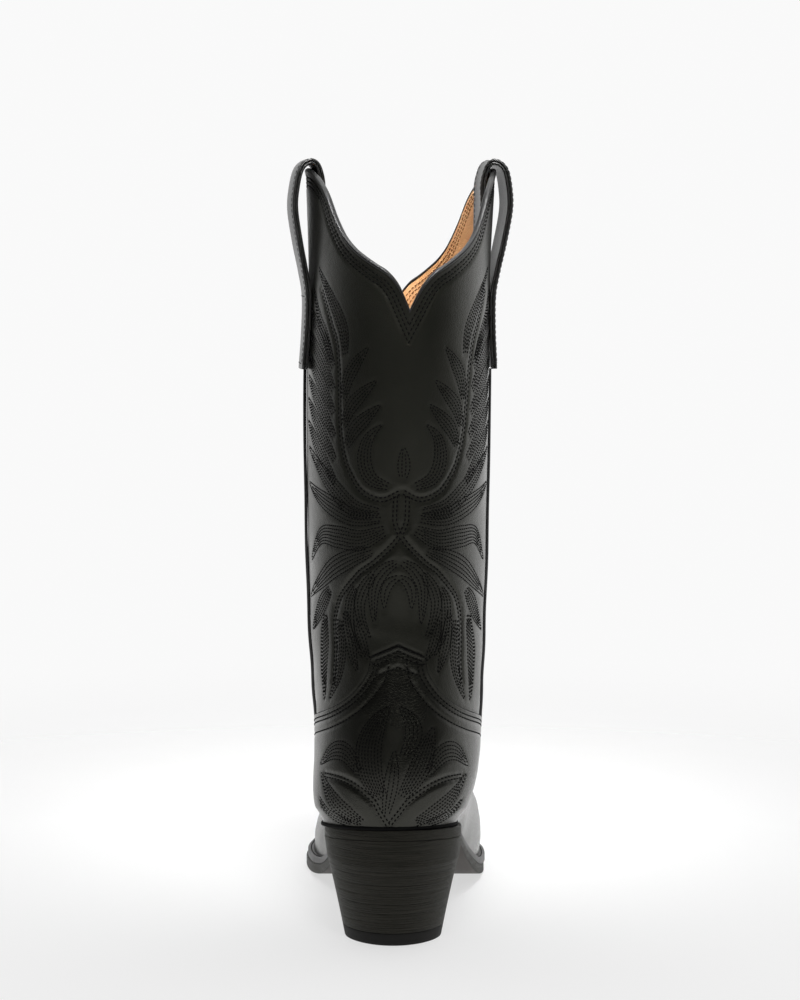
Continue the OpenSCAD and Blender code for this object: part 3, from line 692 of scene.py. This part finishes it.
def piping(word, a):
    """The cord down a side seam, from the strap to the foot pieces."""
    strap_level = ANKLE + (EAR - STRAP_DROP - 0.4 - ANKLE_Z) / LEVEL
    t = np.linspace(float(top_line(np.array([a]))[0]) + 0.03, strap_level, 160)
    cols = np.full(t.shape, a)
    n = normal(cols, t)
    up = unit(skin(cols, t + 0.05) - skin(cols, t))
    across = np.cross(up, n)
    base = leather(cols, t)
    rings = [base + n * (0.1 + PIPE_H * max(math.sin(r), 0) ** 0.8) + across * PIPE_W / 2 * math.cos(r)
             for r in np.radians(np.linspace(0, 180, 13))]
    return tube("side_piping_%s_cord" % word, np.stack(rings, 1), ["side_piping_" + word])


SIDES = ((1, "lateral"), (-1, "medial"))
beads = [bead("back", BACK), bead("front", FRONT)]
pipes = [piping(word, side * SEAM) for side, word in SIDES]

# ---- pull straps
# The strap's middle line, up from its outer sewn end, over the rim and down inside: each row is
# the distance out from the panels' outer face, and the height over the ears.
SEWN_OUT = STRAP_T + 0.3
SEWN_IN = -WALL - STRAP_T - 0.3
strap_line = [[SEWN_OUT + 0.8, -STRAP_DROP], [SEWN_OUT, -STRAP_DROP + 17], [SEWN_OUT, -STRAP_DROP + 34],
              [SEWN_OUT + 1.8, -46], [SEWN_OUT + 4.2, -33], [SEWN_OUT + 6.1, -18], [SEWN_OUT + 5.3, -8],
              [SEWN_OUT + 2.8, 1.2], [0, 4.6], [-3.4, 2.4], [SEWN_IN - 1.4, -5], [SEWN_IN - 0.9, -14],
              [SEWN_IN - 0.3, -28], [SEWN_IN, -42], [SEWN_IN, -70]]


def strap_point(side, across, v, depth):
    """Points across mm from the strap's middle line, at row v of it, and depth mm off its face."""
    across, v, depth = np.broadcast_arrays(*[np.asarray(k, float) for k in (across, v, depth)])
    p = at_row(strap_line, v)
    q = at_row(strap_line, v + 0.05) - at_row(strap_line, v - 0.05)
    turned = unit(np.stack([-q[..., 1], q[..., 0]], -1))
    out = p[..., 0] - depth * turned[..., 0]
    up = p[..., 1] - depth * turned[..., 1]
    a = side * (SEAM + np.degrees(np.arcsin(across / (SHAFT_D / 2))))
    t = ANKLE + (np.minimum(EAR + up, EAR) - ANKLE_Z) / LEVEL
    n = normal(a, t)
    n[..., 2] = 0
    n = unit(n)
    pt = skin(a, t) + n * (out + relief(a, t))[..., None]
    pt[..., 2] += np.maximum(up, 0)
    return pt


def strap(name, side, near, far, covers):
    """One ply of a pull strap, between two depths, with rounded long edges."""
    v = np.linspace(0, len(strap_line) - 1, 150)
    mid = (near + far) / 2
    half = (far - near) / 2 - 0.03
    w = STRAP_W / 2
    quarters = np.linspace(0, 180, 5)
    flat = np.linspace(w - 1.5, -w + 1.5, 15)
    ring = []
    for turn, edge, face, x_way in ((90, w - half * 0.8, -half, 1), (-90, -w + half * 0.8, half, -1)):
        for r in np.radians(turn - quarters):          # a rounded edge, then the face after it
            ring.append((edge + half * 0.8 * math.cos(r), mid + half * math.sin(r)))
        ring += [(x_way * x, mid + face) for x in flat]
    rings = np.stack([strap_point(side, side * x, v, d) for x, d in ring], 1)
    if side < 0:
        rings = rings[:, ::-1]
    return tube(name, rings, covers)


straps = []
for side, word in SIDES:
    face = "pull_strap_" + word
    straps.append(strap(face + "_face", side, 0, STRAP_T - GLUE, [face]))
    straps.append(strap(face + "_back_ply", side, GLUE - STRAP_T, 0, [face + "_backing"]))


# ---- sole
SOLE_ROUND = 0.6                 # rounding of the outsole's edges
SOLE_POINTS = 150                # points along each side of its outline


def plan_edge(th, side):
    """The foot's outline in plan; th runs from the heel (0) to the toe (180)."""
    y = FOOT / 2 - HEEL_BACK - FOOT / 2 * np.cos(np.radians(th))
    f = (y + HEEL_BACK) / FOOT
    return np.stack([side * outline_half(f, side) * end_round(y + HEEL_BACK, seat_half)
                     * end_round(TOE_Y - y, NOSE_ROUND * FOOT / 2), y], -1)


def plan_point(th, side, d):
    run = plan_edge(th + 0.5, side) - plan_edge(th - 0.5, side)
    n = unit(np.stack([side * run[..., 1], -side * run[..., 0]], -1))
    return plan_edge(th, side) + n * np.asarray(d)[..., None]


def sole_margin(y):
    """How far the sole stands out from the foot: a ledge at the heel, the welt's width in front."""
    return mix(VAMP_T + SEAT_MARGIN, VAMP_T + WELT_W, smooth(0.25, 0.42, (y + HEEL_BACK) / FOOT))


def sole_edge(th, side, d=0.0):
    p = plan_point(th, side, np.zeros(np.shape(th)))
    return plan_point(th, side, sole_margin(p[..., 1]) + d)


def round_rim(low, high, r):
    """Steps round an upright edge from bottom to top: turn in radians, and height of its centre."""
    return ([(math.radians(q), low + r) for q in (-90, -60, -30, 0)]
            + [(math.radians(q), high - r) for q in (0, 30, 60, 90)])


def outsole_plate():
    """The outsole, closed above and below by faces that join each point to its partner across."""
    th = np.linspace(1, 179, SOLE_POINTS)
    rings = []
    for k, z in round_rim(-OUTSOLE_T, 0, SOLE_ROUND):
        d = SOLE_ROUND * (math.cos(k) - 1)
        o = np.concatenate([sole_edge(th, 1, d), sole_edge(th[::-1], -1, d)])
        rings.append(np.column_stack([o, sole_z(o[:, 1]) + z + SOLE_ROUND * math.sin(k)]))
    rings = np.stack(rings)
    n, m = rings.shape[:2]
    faces = grid_faces(n, m, flip=True)
    for first, flip in ((0, True), ((n - 1) * m, False)):
        for j in range(SOLE_POINTS - 1):
            f = [first + j, first + j + 1, first + m - 2 - j, first + m - 1 - j]
            faces.append(f[::-1] if flip else f)
    return new_mesh("outsole_leather", rings.reshape(-1, 3), faces, ["outsole"])


def foot_strip(node, mid, height, count, r):
    """A strip on the sole round the foot, from under the leather out to the sole's edge."""
    cols = mid + np.linspace(1 - SEAM, SEAM - 1, count)
    n = normal(cols, np.zeros(count))
    near = skin(cols, 0) + n * (VAMP_T - 0.3)
    flat = unit(n[:, :2])
    margin = sole_margin(near[:, 1])[:, None]
    base = skin(cols, 0)[:, :2]
    far = base + flat * margin
    low = sole_z(near[:, 1]) + GLUE
    far_low = sole_z(far[:, 1]) + GLUE
    near = near[:, :2]
    rings = [np.column_stack([near, low]), np.column_stack([near, low + height]),
             np.column_stack([(base + far) / 2, (low + far_low) / 2 + height])]
    for k, z in reversed(round_rim(0, height, r)):
        rim = base + flat * (margin - r + r * math.cos(k))
        rings.append(np.column_stack([rim, far_low + z + r * math.sin(k)]))
    return tube(node + "_leather", np.stack(rings, 1), [node])


outsole = outsole_plate()
welt = foot_strip("welt", FRONT, WELT_T, 260, 0.5)
rand = foot_strip("heel_seat_rand", BACK, RAND_H, 160, 0.6)

# ---- heel
HEEL_POINTS = 44                 # steps along each side of the heel
BREAST_HOLLOW = 1.6              # how far its front face is hollowed
top_back = -HEEL_BACK - VAMP_T - SEAT_MARGIN
top_half = seat_half + VAMP_T + SEAT_MARGIN
breast_turn = math.degrees(math.acos((FOOT / 2 - HEEL_BACK - BREAST) / (FOOT / 2)))
level_top = float(sole_z(BREAST)) - OUTSOLE_T - WEDGE_FRONT
lift_t = (level_top - TIP_T) / LIFTS


def heel_outline(s, d):
    """The heel's outline at a share s of the way down, grown by d."""
    ease = s**0.85
    narrow = mix(1, TIP_W / 2 / top_half, ease)
    back = mix(top_back, -TIP_L / 2, ease)
    front = mix(BREAST, TIP_L / 2, ease)
    arc = sole_edge(breast_turn * np.arange(HEEL_POINTS + 1) / HEEL_POINTS + 0.01, 1, d)
    b = np.linspace(-1, 1, 15)[1:-1]
    breast = np.stack([b * arc[-1][0], BREAST + d - BREAST_HOLLOW * (1 - b**2)], -1)
    pts = np.concatenate([arc[::-1], (arc * [-1, 1])[1:], breast])
    return np.stack([pts[:, 0] * narrow,
                     back + (pts[:, 1] - top_back) / (BREAST - top_back) * (front - back)], -1)


def heel_block(name, low, high, node, top_at=None, r=0.05):
    """One layer of the heel, from low to high, or up to the surface top_at."""
    steps = [(-r, low), (-r * 0.3, low + r * 0.35), (0, low + r)]
    steps += [(0, z) for z in np.linspace(low + r, high - r, 4)[1:-1]]
    steps += [(0, high - r), (-r * 0.3, high - r * 0.35), (-r, high)]
    rings = []
    for d, z in steps:
        o = heel_outline(min(max(1 - z / (level_top + WEDGE_FRONT), 0), 1), d)
        zz = np.full(len(o), z)
        if top_at is not None:
            zz = low + (z - low) / (high - low) * (top_at(o[:, 1]) - low)
        rings.append(np.column_stack([o, zz]))
    rings = np.stack(rings)
    n, m = rings.shape[:2]
    faces = grid_faces(n, m, flip=True)
    verts = rings.reshape(-1, 3).tolist()
    for ring, flip in ((0, False), (n - 1, True)):
        c = len(verts)
        verts.append(rings[ring].mean(0).tolist())
        if top_at is not None and ring:
            verts[-1][2] = float(top_at(verts[-1][1]))
        for j in range(m):
            f = [c, ring * m + j, ring * m + (j + 1) % m]
            faces.append(f if flip else f[::-1])
    return new_mesh(name, verts, faces, [node])


def under_sole(y):
    return sole_z(y) - OUTSOLE_T - GLUE


heel = [heel_block("heel_base_leather", level_top + GLUE, level_top + WEDGE_FRONT,
                   "heel_base", top_at=under_sole)]
for i in range(1, LIFTS + 1):
    high = level_top - (i - 1) * lift_t
    lift = "heel_lift_%d" % i
    heel.append(heel_block(lift + "_leather", high - lift_t + GLUE, high, lift))
heel.append(heel_block("heel_top_lift_rubber", 0, TIP_T, "heel_top_lift", r=0.5))


# ---- threads
THREAD_RINGS = (-0.5, -0.3, 0.3, 0.5)      # places of a stitch's rings, in shares of its length
THREAD_SIDES = 5


def stitches_along(pts, nrm, stitch, shift=0.0, keep=None):
    """Places of evenly spaced stitches on a path: middle, run, outward direction, length and radius."""
    pitch = stitch["pitch"]
    length = stitch["length"]
    s = np.concatenate([[0], np.cumsum(np.linalg.norm(np.diff(pts, axis=0), axis=1))])
    count = int(s[-1] // pitch)
    if count < 2:
        return []
    at = (s[-1] - count * pitch) / 2 + pitch * (np.arange(count) + 0.5 + shift)
    at = at[at < s[-1] - length / 2]

    def along(v, q):
        return np.stack([np.interp(q, s, v[:, k]) for k in range(3)], 1)
    run = unit(along(pts, at + length / 2) - along(pts, at - length / 2))
    out = along(nrm, at)
    out = unit(out - (out * run).sum(1)[:, None] * run)
    good = np.full(len(at), True) if keep is None else np.interp(at, s, keep.astype(float)) > 0.99
    number = good.sum()
    return [(along(pts, at)[good], run[good], out[good], np.full(number, length),
             np.full(number, stitch["radius"]))]


def thread_mesh(name, stitches):
    """One mesh of many short stitches, each a little bar whose ends dip into the leather."""
    mid, run, out, length, radius = [np.concatenate([p[k] for p in stitches]) for k in range(5)]
    side = np.cross(out, run)
    verts = []
    for x in THREAD_RINGS:
        end = abs(x) == 0.5
        fat = 0.5 if end else 1.0
        rise = -0.5 if end else 0.35
        for q in range(THREAD_SIDES):
            r = math.radians(q * 360 / THREAD_SIDES + 18)
            verts.append(mid + run * (x * length)[:, None]
                         + out * (radius * (rise + fat * math.sin(r)))[:, None]
                         + side * (radius * fat * math.cos(r))[:, None])
    verts = np.stack(verts, 1)
    m = len(THREAD_RINGS) * THREAD_SIDES
    start = (np.arange(len(mid)) * m)[:, None, None]
    sides = np.array(grid_faces(len(THREAD_RINGS), THREAD_SIDES))[None] + start
    ends = np.array([list(range(THREAD_SIDES)), list(range(m - 1, m - 1 - THREAD_SIDES, -1))])[None] + start
    faces = sides.reshape(-1, 4).tolist() + ends.reshape(-1, THREAD_SIDES).tolist()
    return new_mesh(name, verts.reshape(-1, 3), faces)


def stitches_of(piece, d, facing):
    """A piece's stitches on the face d mm out, which looks outwards (1) or inwards (-1)."""
    found = []
    for a, t, keep, stitch, shift in sewn[piece]:
        found += stitches_along(leather(a, t, d), facing * normal(a, t), stitch, shift, keep)
    return found


threads = [thread_mesh(piece, stitches_of(piece, 0.0 if piece.startswith("shaft") else VAMP_T, 1))
           for piece in sewn]
# the rows along the rim show on the lining too
inside_threads = [thread_mesh(piece + "_inside", stitches_of(piece, -WALL, -1))
                  for piece in RIM_ROWS]

# pull straps: a row along each edge, and two across the sewn end
inset = STRAP_W / 2 - 2.4
along_edge = np.linspace(0.15, len(strap_line) - 1.3, 500)
across_end = np.linspace(-inset, inset, 60)
strap_rows = ((inset, along_edge), (-inset, along_edge), (across_end, 0.15), (across_end, 2.0))
for side, word in SIDES:
    found = []
    for across, v in strap_rows:
        pts = strap_point(side, across, v, STRAP_T - 0.2)
        deep = strap_point(side, across, v, STRAP_T - 0.7)
        found += stitches_along(pts, unit(pts - deep), STRAP_STITCH)
    threads.append(thread_mesh("pull_strap_%s_stitching" % word, found))

# welt: one row on its upper face
cols = np.linspace(SEAM + 2, 360 - SEAM - 2, 500)
flat = unit(normal(cols, 0 * cols)[:, :2])
foot = skin(cols, 0)
spot = foot[:, :2] + flat * (VAMP_T + (sole_margin(foot[:, 1]) - VAMP_T) * 0.5)[:, None]
welt_path = np.column_stack([spot, sole_z(spot[:, 1]) + WELT_T])
welt_stitches = stitches_along(welt_path, np.tile([0.0, 0.0, 1.0], (500, 1)), WELT_STITCH)
threads.append(thread_mesh("welt_stitching", welt_stitches))


# ---- materials
def fill(node, inputs):
    """Sets a node's inputs: a link where the value is another node's output, else a constant."""
    for key, value in inputs.items():
        if isinstance(value, bpy.types.NodeSocket):
            node.id_data.links.new(value, node.inputs[key])
        else:
            node.inputs[key].default_value = value


def add(tree, kind, inputs):
    node = tree.nodes.new("ShaderNode" + kind)
    fill(node, inputs)
    return node


def new_look(name, inputs):
    """A material with constant values on its surface node; gives back its tree and surface too."""
    look = bpy.data.materials.new(name)
    look.use_nodes = True
    surface = look.node_tree.nodes["Principled BSDF"]
    fill(surface, inputs)
    return look, look.node_tree, surface


def texture(tree, kind, inputs, stretch=None):
    """A texture that sits fast on the object, stretched along the axes if asked."""
    place = add(tree, "TexCoord", {}).outputs["Object"]
    if stretch:
        place = add(tree, "Mapping", {"Vector": place, "Scale": stretch}).outputs["Vector"]
    return add(tree, "Tex" + kind, {"Vector": place, **inputs})


def ramp(tree, value, low, high, dark, light):
    """A colour that goes from dark to light as the value goes from low to high."""
    node = add(tree, "ValToRGB", {"Fac": value})
    ends = node.color_ramp.elements
    ends[0].position = low
    ends[1].position = high
    ends[0].color = (*dark, 1)
    ends[1].color = (*light, 1)
    return node.outputs["Color"]


def remap(tree, value, from_min, from_max, to_min=0.0, to_max=1.0, way="LINEAR"):
    node = add(tree, "MapRange", {"Value": value, "From Min": from_min, "From Max": from_max,
                                  "To Min": to_min, "To Max": to_max})
    node.interpolation_type = way
    return node.outputs["Result"]


def bump(tree, height, strength, distance, under=None):
    """Relief on the surface, laid over other relief if given."""
    node = add(tree, "Bump", {"Height": height, "Strength": strength, "Distance": distance})
    if under is not None:
        fill(node, {"Normal": under})
    return node.outputs["Normal"]


PLAIN = (1, 1, 1, 1)
WARM = (1, 0.99, 0.8, 1)


def leather_look(name, dark, light, rough, coat, grain, spec=0.5, grain_scale=900, wear=0.25, tint=PLAIN):
    """Leather with clouded colour, grain, pores and creases."""
    look, tree, surface = new_look(name, {"Coat Weight": coat, "Coat Roughness": 0.25,
                                          "Specular IOR Level": spec, "Specular Tint": tint})
    cloud = texture(tree, "Noise", {"Scale": 22, "Detail": 5}).outputs["Fac"]
    cell = texture(tree, "Voronoi", {"Scale": grain_scale})
    cell.feature = "DISTANCE_TO_EDGE"
    pore = texture(tree, "Noise", {"Scale": 260, "Detail": 6}).outputs["Fac"]
    crease = texture(tree, "Noise", {"Scale": 45, "Detail": 7, "Distortion": 1.2}).outputs["Fac"]
    grained = bump(tree, remap(tree, cell.outputs["Distance"], 0, 0.12), grain, 0.0001)
    pored = bump(tree, pore, grain, 0.0002, grained)
    fill(surface, {"Base Color": ramp(tree, cloud, 0.35, 0.7, dark, light),
                   "Roughness": remap(tree, cloud, 0.3, 0.75, rough - 0.06, rough + 0.1),
                   "Normal": bump(tree, crease, wear, 0.0012, pored)})
    return look


def speckled_look(name, base, fleck, scale, rough, metal=0.0):
    """Cork or brushed steel: a base colour with flecks and a rough relief."""
    look, tree, surface = new_look(name, {"Metallic": metal, "Roughness": rough})
    spots = texture(tree, "Voronoi", {"Scale": scale}).outputs["Distance"]
    fill(surface, {"Base Color": ramp(tree, spots, 0.15, 0.6, fleck, base),
                   "Normal": bump(tree, spots, 0.4, 0.0003)})
    return look


def cloth_look():
    """Woven interlining: two crossed sets of bands."""
    look, tree, surface = new_look("interlining cloth", {"Roughness": 0.85, "Sheen Weight": 0.3})
    bands = []
    for axis in ("X", "Z"):
        wave = texture(tree, "Wave", {"Scale": 420, "Distortion": 0.6})
        wave.bands_direction = axis
        bands.append(wave.outputs["Fac"])
    both = add(tree, "Math", {0: bands[0], 1: bands[1]})
    both.operation = "MULTIPLY"
    weave = both.outputs[0]
    fill(surface, {"Base Color": ramp(tree, weave, 0, 1, (0.42, 0.38, 0.3), (0.72, 0.67, 0.57)),
                   "Normal": bump(tree, weave, 0.5, 0.0002)})
    return look


def stack_look():
    """Stacked heel leather: level streaks and small nicks."""
    look, tree, surface = new_look("stacked heel leather", {"Specular IOR Level": 0.28,
                                                            "Specular Tint": WARM})
    long_grain = {"Scale": 1, "Detail": 8, "Roughness": 0.7}
    streak = texture(tree, "Noise", long_grain, (34, 34, 1500)).outputs["Fac"]
    nick = texture(tree, "Noise", {"Scale": 1, "Detail": 3}, (60, 60, 500)).outputs["Fac"]
    streaked = bump(tree, streak, 1, 0.001)
    fill(surface, {"Base Color": ramp(tree, streak, 0.42, 0.62, (0.002, 0.0018, 0.0016),
                                      (0.024, 0.022, 0.019)),
                   "Roughness": remap(tree, streak, 0.3, 0.7, 0.38, 0.66),
                   "Normal": bump(tree, nick, 0.45, 0.0006, streaked)})
    return look


black = leather_look("black leather", (0.0035, 0.0038, 0.003), (0.0082, 0.0085, 0.007), 0.34, 0.22, 0.5,
                     spec=0.38, wear=0.22, tint=WARM)
glossy = leather_look("polished black leather", (0.003, 0.0032, 0.0027), (0.007, 0.0072, 0.0062), 0.28, 0.38,
                      0.45, spec=0.38, wear=0.22, tint=WARM)
strap_black = leather_look("strap leather", (0.007, 0.007, 0.0065), (0.014, 0.014, 0.013), 0.42, 0.2, 0.3)
binding = leather_look("rolled binding", (0.005, 0.005, 0.005), (0.01, 0.01, 0.01), 0.4, 0.25, 0.3)
lining = leather_look("natural lining", (0.5, 0.25, 0.095), (0.9, 0.56, 0.3), 0.7, 0.0, 1.0, spec=0.25,
                      grain_scale=500, wear=0.9)
soles = leather_look("sole edge", (0.004, 0.0035, 0.003), (0.011, 0.0095, 0.008), 0.45, 0.15, 0.4, spec=0.35)
tread = leather_look("leather sole bottom", (0.014, 0.01, 0.0075), (0.036, 0.026, 0.018), 0.5, 0.05, 0.5,
                     spec=0.35)
insole_leather = leather_look("insole leather", (0.4, 0.27, 0.15), (0.58, 0.42, 0.26), 0.7, 0.0, 0.5,
                              spec=0.3)
board = leather_look("fibre board", (0.16, 0.12, 0.08), (0.27, 0.21, 0.15), 0.8, 0.0, 0.8, spec=0.2)
rubber = leather_look("heel rubber", (0.004, 0.004, 0.0035), (0.009, 0.0085, 0.0075), 0.65, 0.0, 0.4,
                      spec=0.25)
# near-black matte thread; the same look is painted shade on the heel seat rand and on the cut top edges
thread = leather_look("black thread and painted shade", (0.0015, 0.0015, 0.0015), (0.005, 0.005, 0.005), 0.8, 0.0, 0.3,
                      spec=0.12)
tan_thread = leather_look("tan thread", (0.16, 0.07, 0.025), (0.3, 0.14, 0.05), 0.8, 0.0, 0.3, spec=0.15)
cork = speckled_look("cork filler", (0.42, 0.25, 0.12), (0.14, 0.07, 0.03), 700, 0.85)
steel = speckled_look("steel", (0.55, 0.55, 0.56), (0.38, 0.38, 0.39), 1500, 0.35, metal=1.0)
cloth = cloth_look()
stack = stack_look()

# the heel seat rand takes the near-black matte thread look: painted shade of the crevice between the heel
# cover and the heel
painted = [(shells[:2], black), (shells[2:], glossy), (linings, lining), (beads + pipes, binding),
           (straps, strap_black), ([outsole] + heel[:-1], stack), ([welt], soles), (heel[-1:], rubber),
           ([rand] + threads, thread), (inside_threads, tan_thread)]
for pieces, look in painted:
    for o in pieces:
        o.data.materials.clear()
        o.data.materials.append(look)
for o, rows in zip(shells, SHELL_ROWS):      # the cut top edges take the near-black matte thread look: stained edges, and painted shade along the step at each edge
    o.data.materials.append(thread)
    around = rows + EDGE_STEPS + INNER_ROWS
    for k, f in enumerate(o.data.polygons):
        if rows - 1 <= k % around < rows + EDGE_STEPS:
            f.material_index = 1
outsole.data.materials.append(tread)
for f in outsole.data.polygons:
    if f.normal.z < -0.8:
        f.material_index = 1
inside_look = {"sock_liner": lining, "insole": insole_leather, "shank": steel, "bottom_filler": cork,
               "counter_stiffener": board, "toe_box": board, "vamp_interlining": cloth, "heel_nails": steel}
outside_look = {"black_leather": black, "lining_leather": lining, "sole_leather": soles,
                "stacked_leather": stack, "heel_rubber": rubber}
for name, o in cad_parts.items():
    for k in o.material_slots:
        k.material = inside_look.get(name) or outside_look.get(k.material.name if k.material else "", black)

# ---- floor and world
floor_mesh = bpy.data.meshes.new("floor")
floor_mesh.from_pydata([(-6, -6, 0), (6, -6, 0), (6, 9, 0), (-6, 9, 0)], [], [(0, 1, 2, 3)])
floor = bpy.data.objects.new("floor", floor_mesh)
bpy.context.scene.collection.objects.link(floor)
floor_look, tree, surface = new_look("pale floor", {
    "Base Color": (0.35, 0.35, 0.35, 1), "Roughness": 0.85, "Specular IOR Level": 0.1,
    "Emission Color": PLAIN, "Emission Strength": 0.62})
# the floor fades into the plain backdrop away from the boot
away = add(tree, "VectorMath", {0: add(tree, "TexCoord", {}).outputs["Object"]})
away.operation = "LENGTH"
fill(surface, {"Alpha": remap(tree, away.outputs["Value"], 0.25, 0.9, 1, 0, "SMOOTHSTEP")})
floor.data.materials.append(floor_look)

# a white studio: bright behind and beside the boot, dimmer where the camera stands
world = bpy.data.worlds.new("studio")
bpy.context.scene.world = world
world.use_nodes = True
sky = world.node_tree
way = add(sky, "SeparateXYZ", {0: add(sky, "TexCoord", {}).outputs["Generated"]})
# the right side is a little brighter than the left
tilt = add(sky, "Math", {})
tilt.operation = "MULTIPLY_ADD"
fill(tilt, {0: way.outputs["X"], 1: 0.22, 2: way.outputs["Y"]})
glow = sky.nodes["Background"]
fill(glow, {"Color": PLAIN, "Strength": remap(sky, tilt.outputs[0], -0.05, 0.8, 0.05, 1.1, "SMOOTHSTEP")})
backdrop = add(sky, "Background", {"Color": (0.95, 0.95, 0.95, 1)})
shown = add(sky, "MixShader", {"Fac": add(sky, "LightPath", {}).outputs["Is Camera Ray"],
                               1: glow.outputs["Background"], 2: backdrop.outputs["Background"]})
fill(sky.nodes["World Output"], {"Surface": shown.outputs["Shader"]})
bpy.context.scene.view_settings.view_transform = "Standard"


# ---- lights and camera, in metres and watts
def area(name, where, at, size, power, spread=180):
    """A rectangular light that looks at a point."""
    light = bpy.data.lights.new(name, "AREA")
    light.shape = "RECTANGLE"
    light.size, light.size_y = size
    light.energy = power
    light.spread = math.radians(spread)
    o = bpy.data.objects.new(name, light)
    bpy.context.scene.collection.objects.link(o)
    o.location = where
    look_way = Vector((np.array(at) - np.array(where)).tolist())
    o.rotation_euler = look_way.to_track_quat("-Z", "Y").to_euler()


area("top panel", (0, 0.1, 1.9), (0, 0, 0), (1.8, 1.8), 16)
area("camera side panel", (0.35, -1.5, 1.2), (0, 0, 0.3), (0.4, 0.4), 2.5)
area("light into the shaft", (0.05, -0.3, 0.8), (0.02, 0.08, 0.31), (0.25, 0.25), 0.4, spread=28)

CAM_AWAY = 1.3642
CAM_HEIGHT = 0.3276
CAM_DOWN = 0.0561      # how far the camera looks down, in radians
SENSOR = 36.0
lens = bpy.data.cameras.new("camera")
lens.sensor_fit = "VERTICAL"
lens.sensor_height = SENSOR
lens.lens = SENSOR * 2.9413
lens.shift_x = 0.007
lens.shift_y = -0.1
lens.clip_end = 60
camera = bpy.data.objects.new("camera", lens)
bpy.context.scene.collection.objects.link(camera)
bpy.context.scene.camera = camera
camera.location = (0, -CAM_AWAY, CAM_HEIGHT)
camera.rotation_euler = (math.pi / 2 - CAM_DOWN, 0, 0)
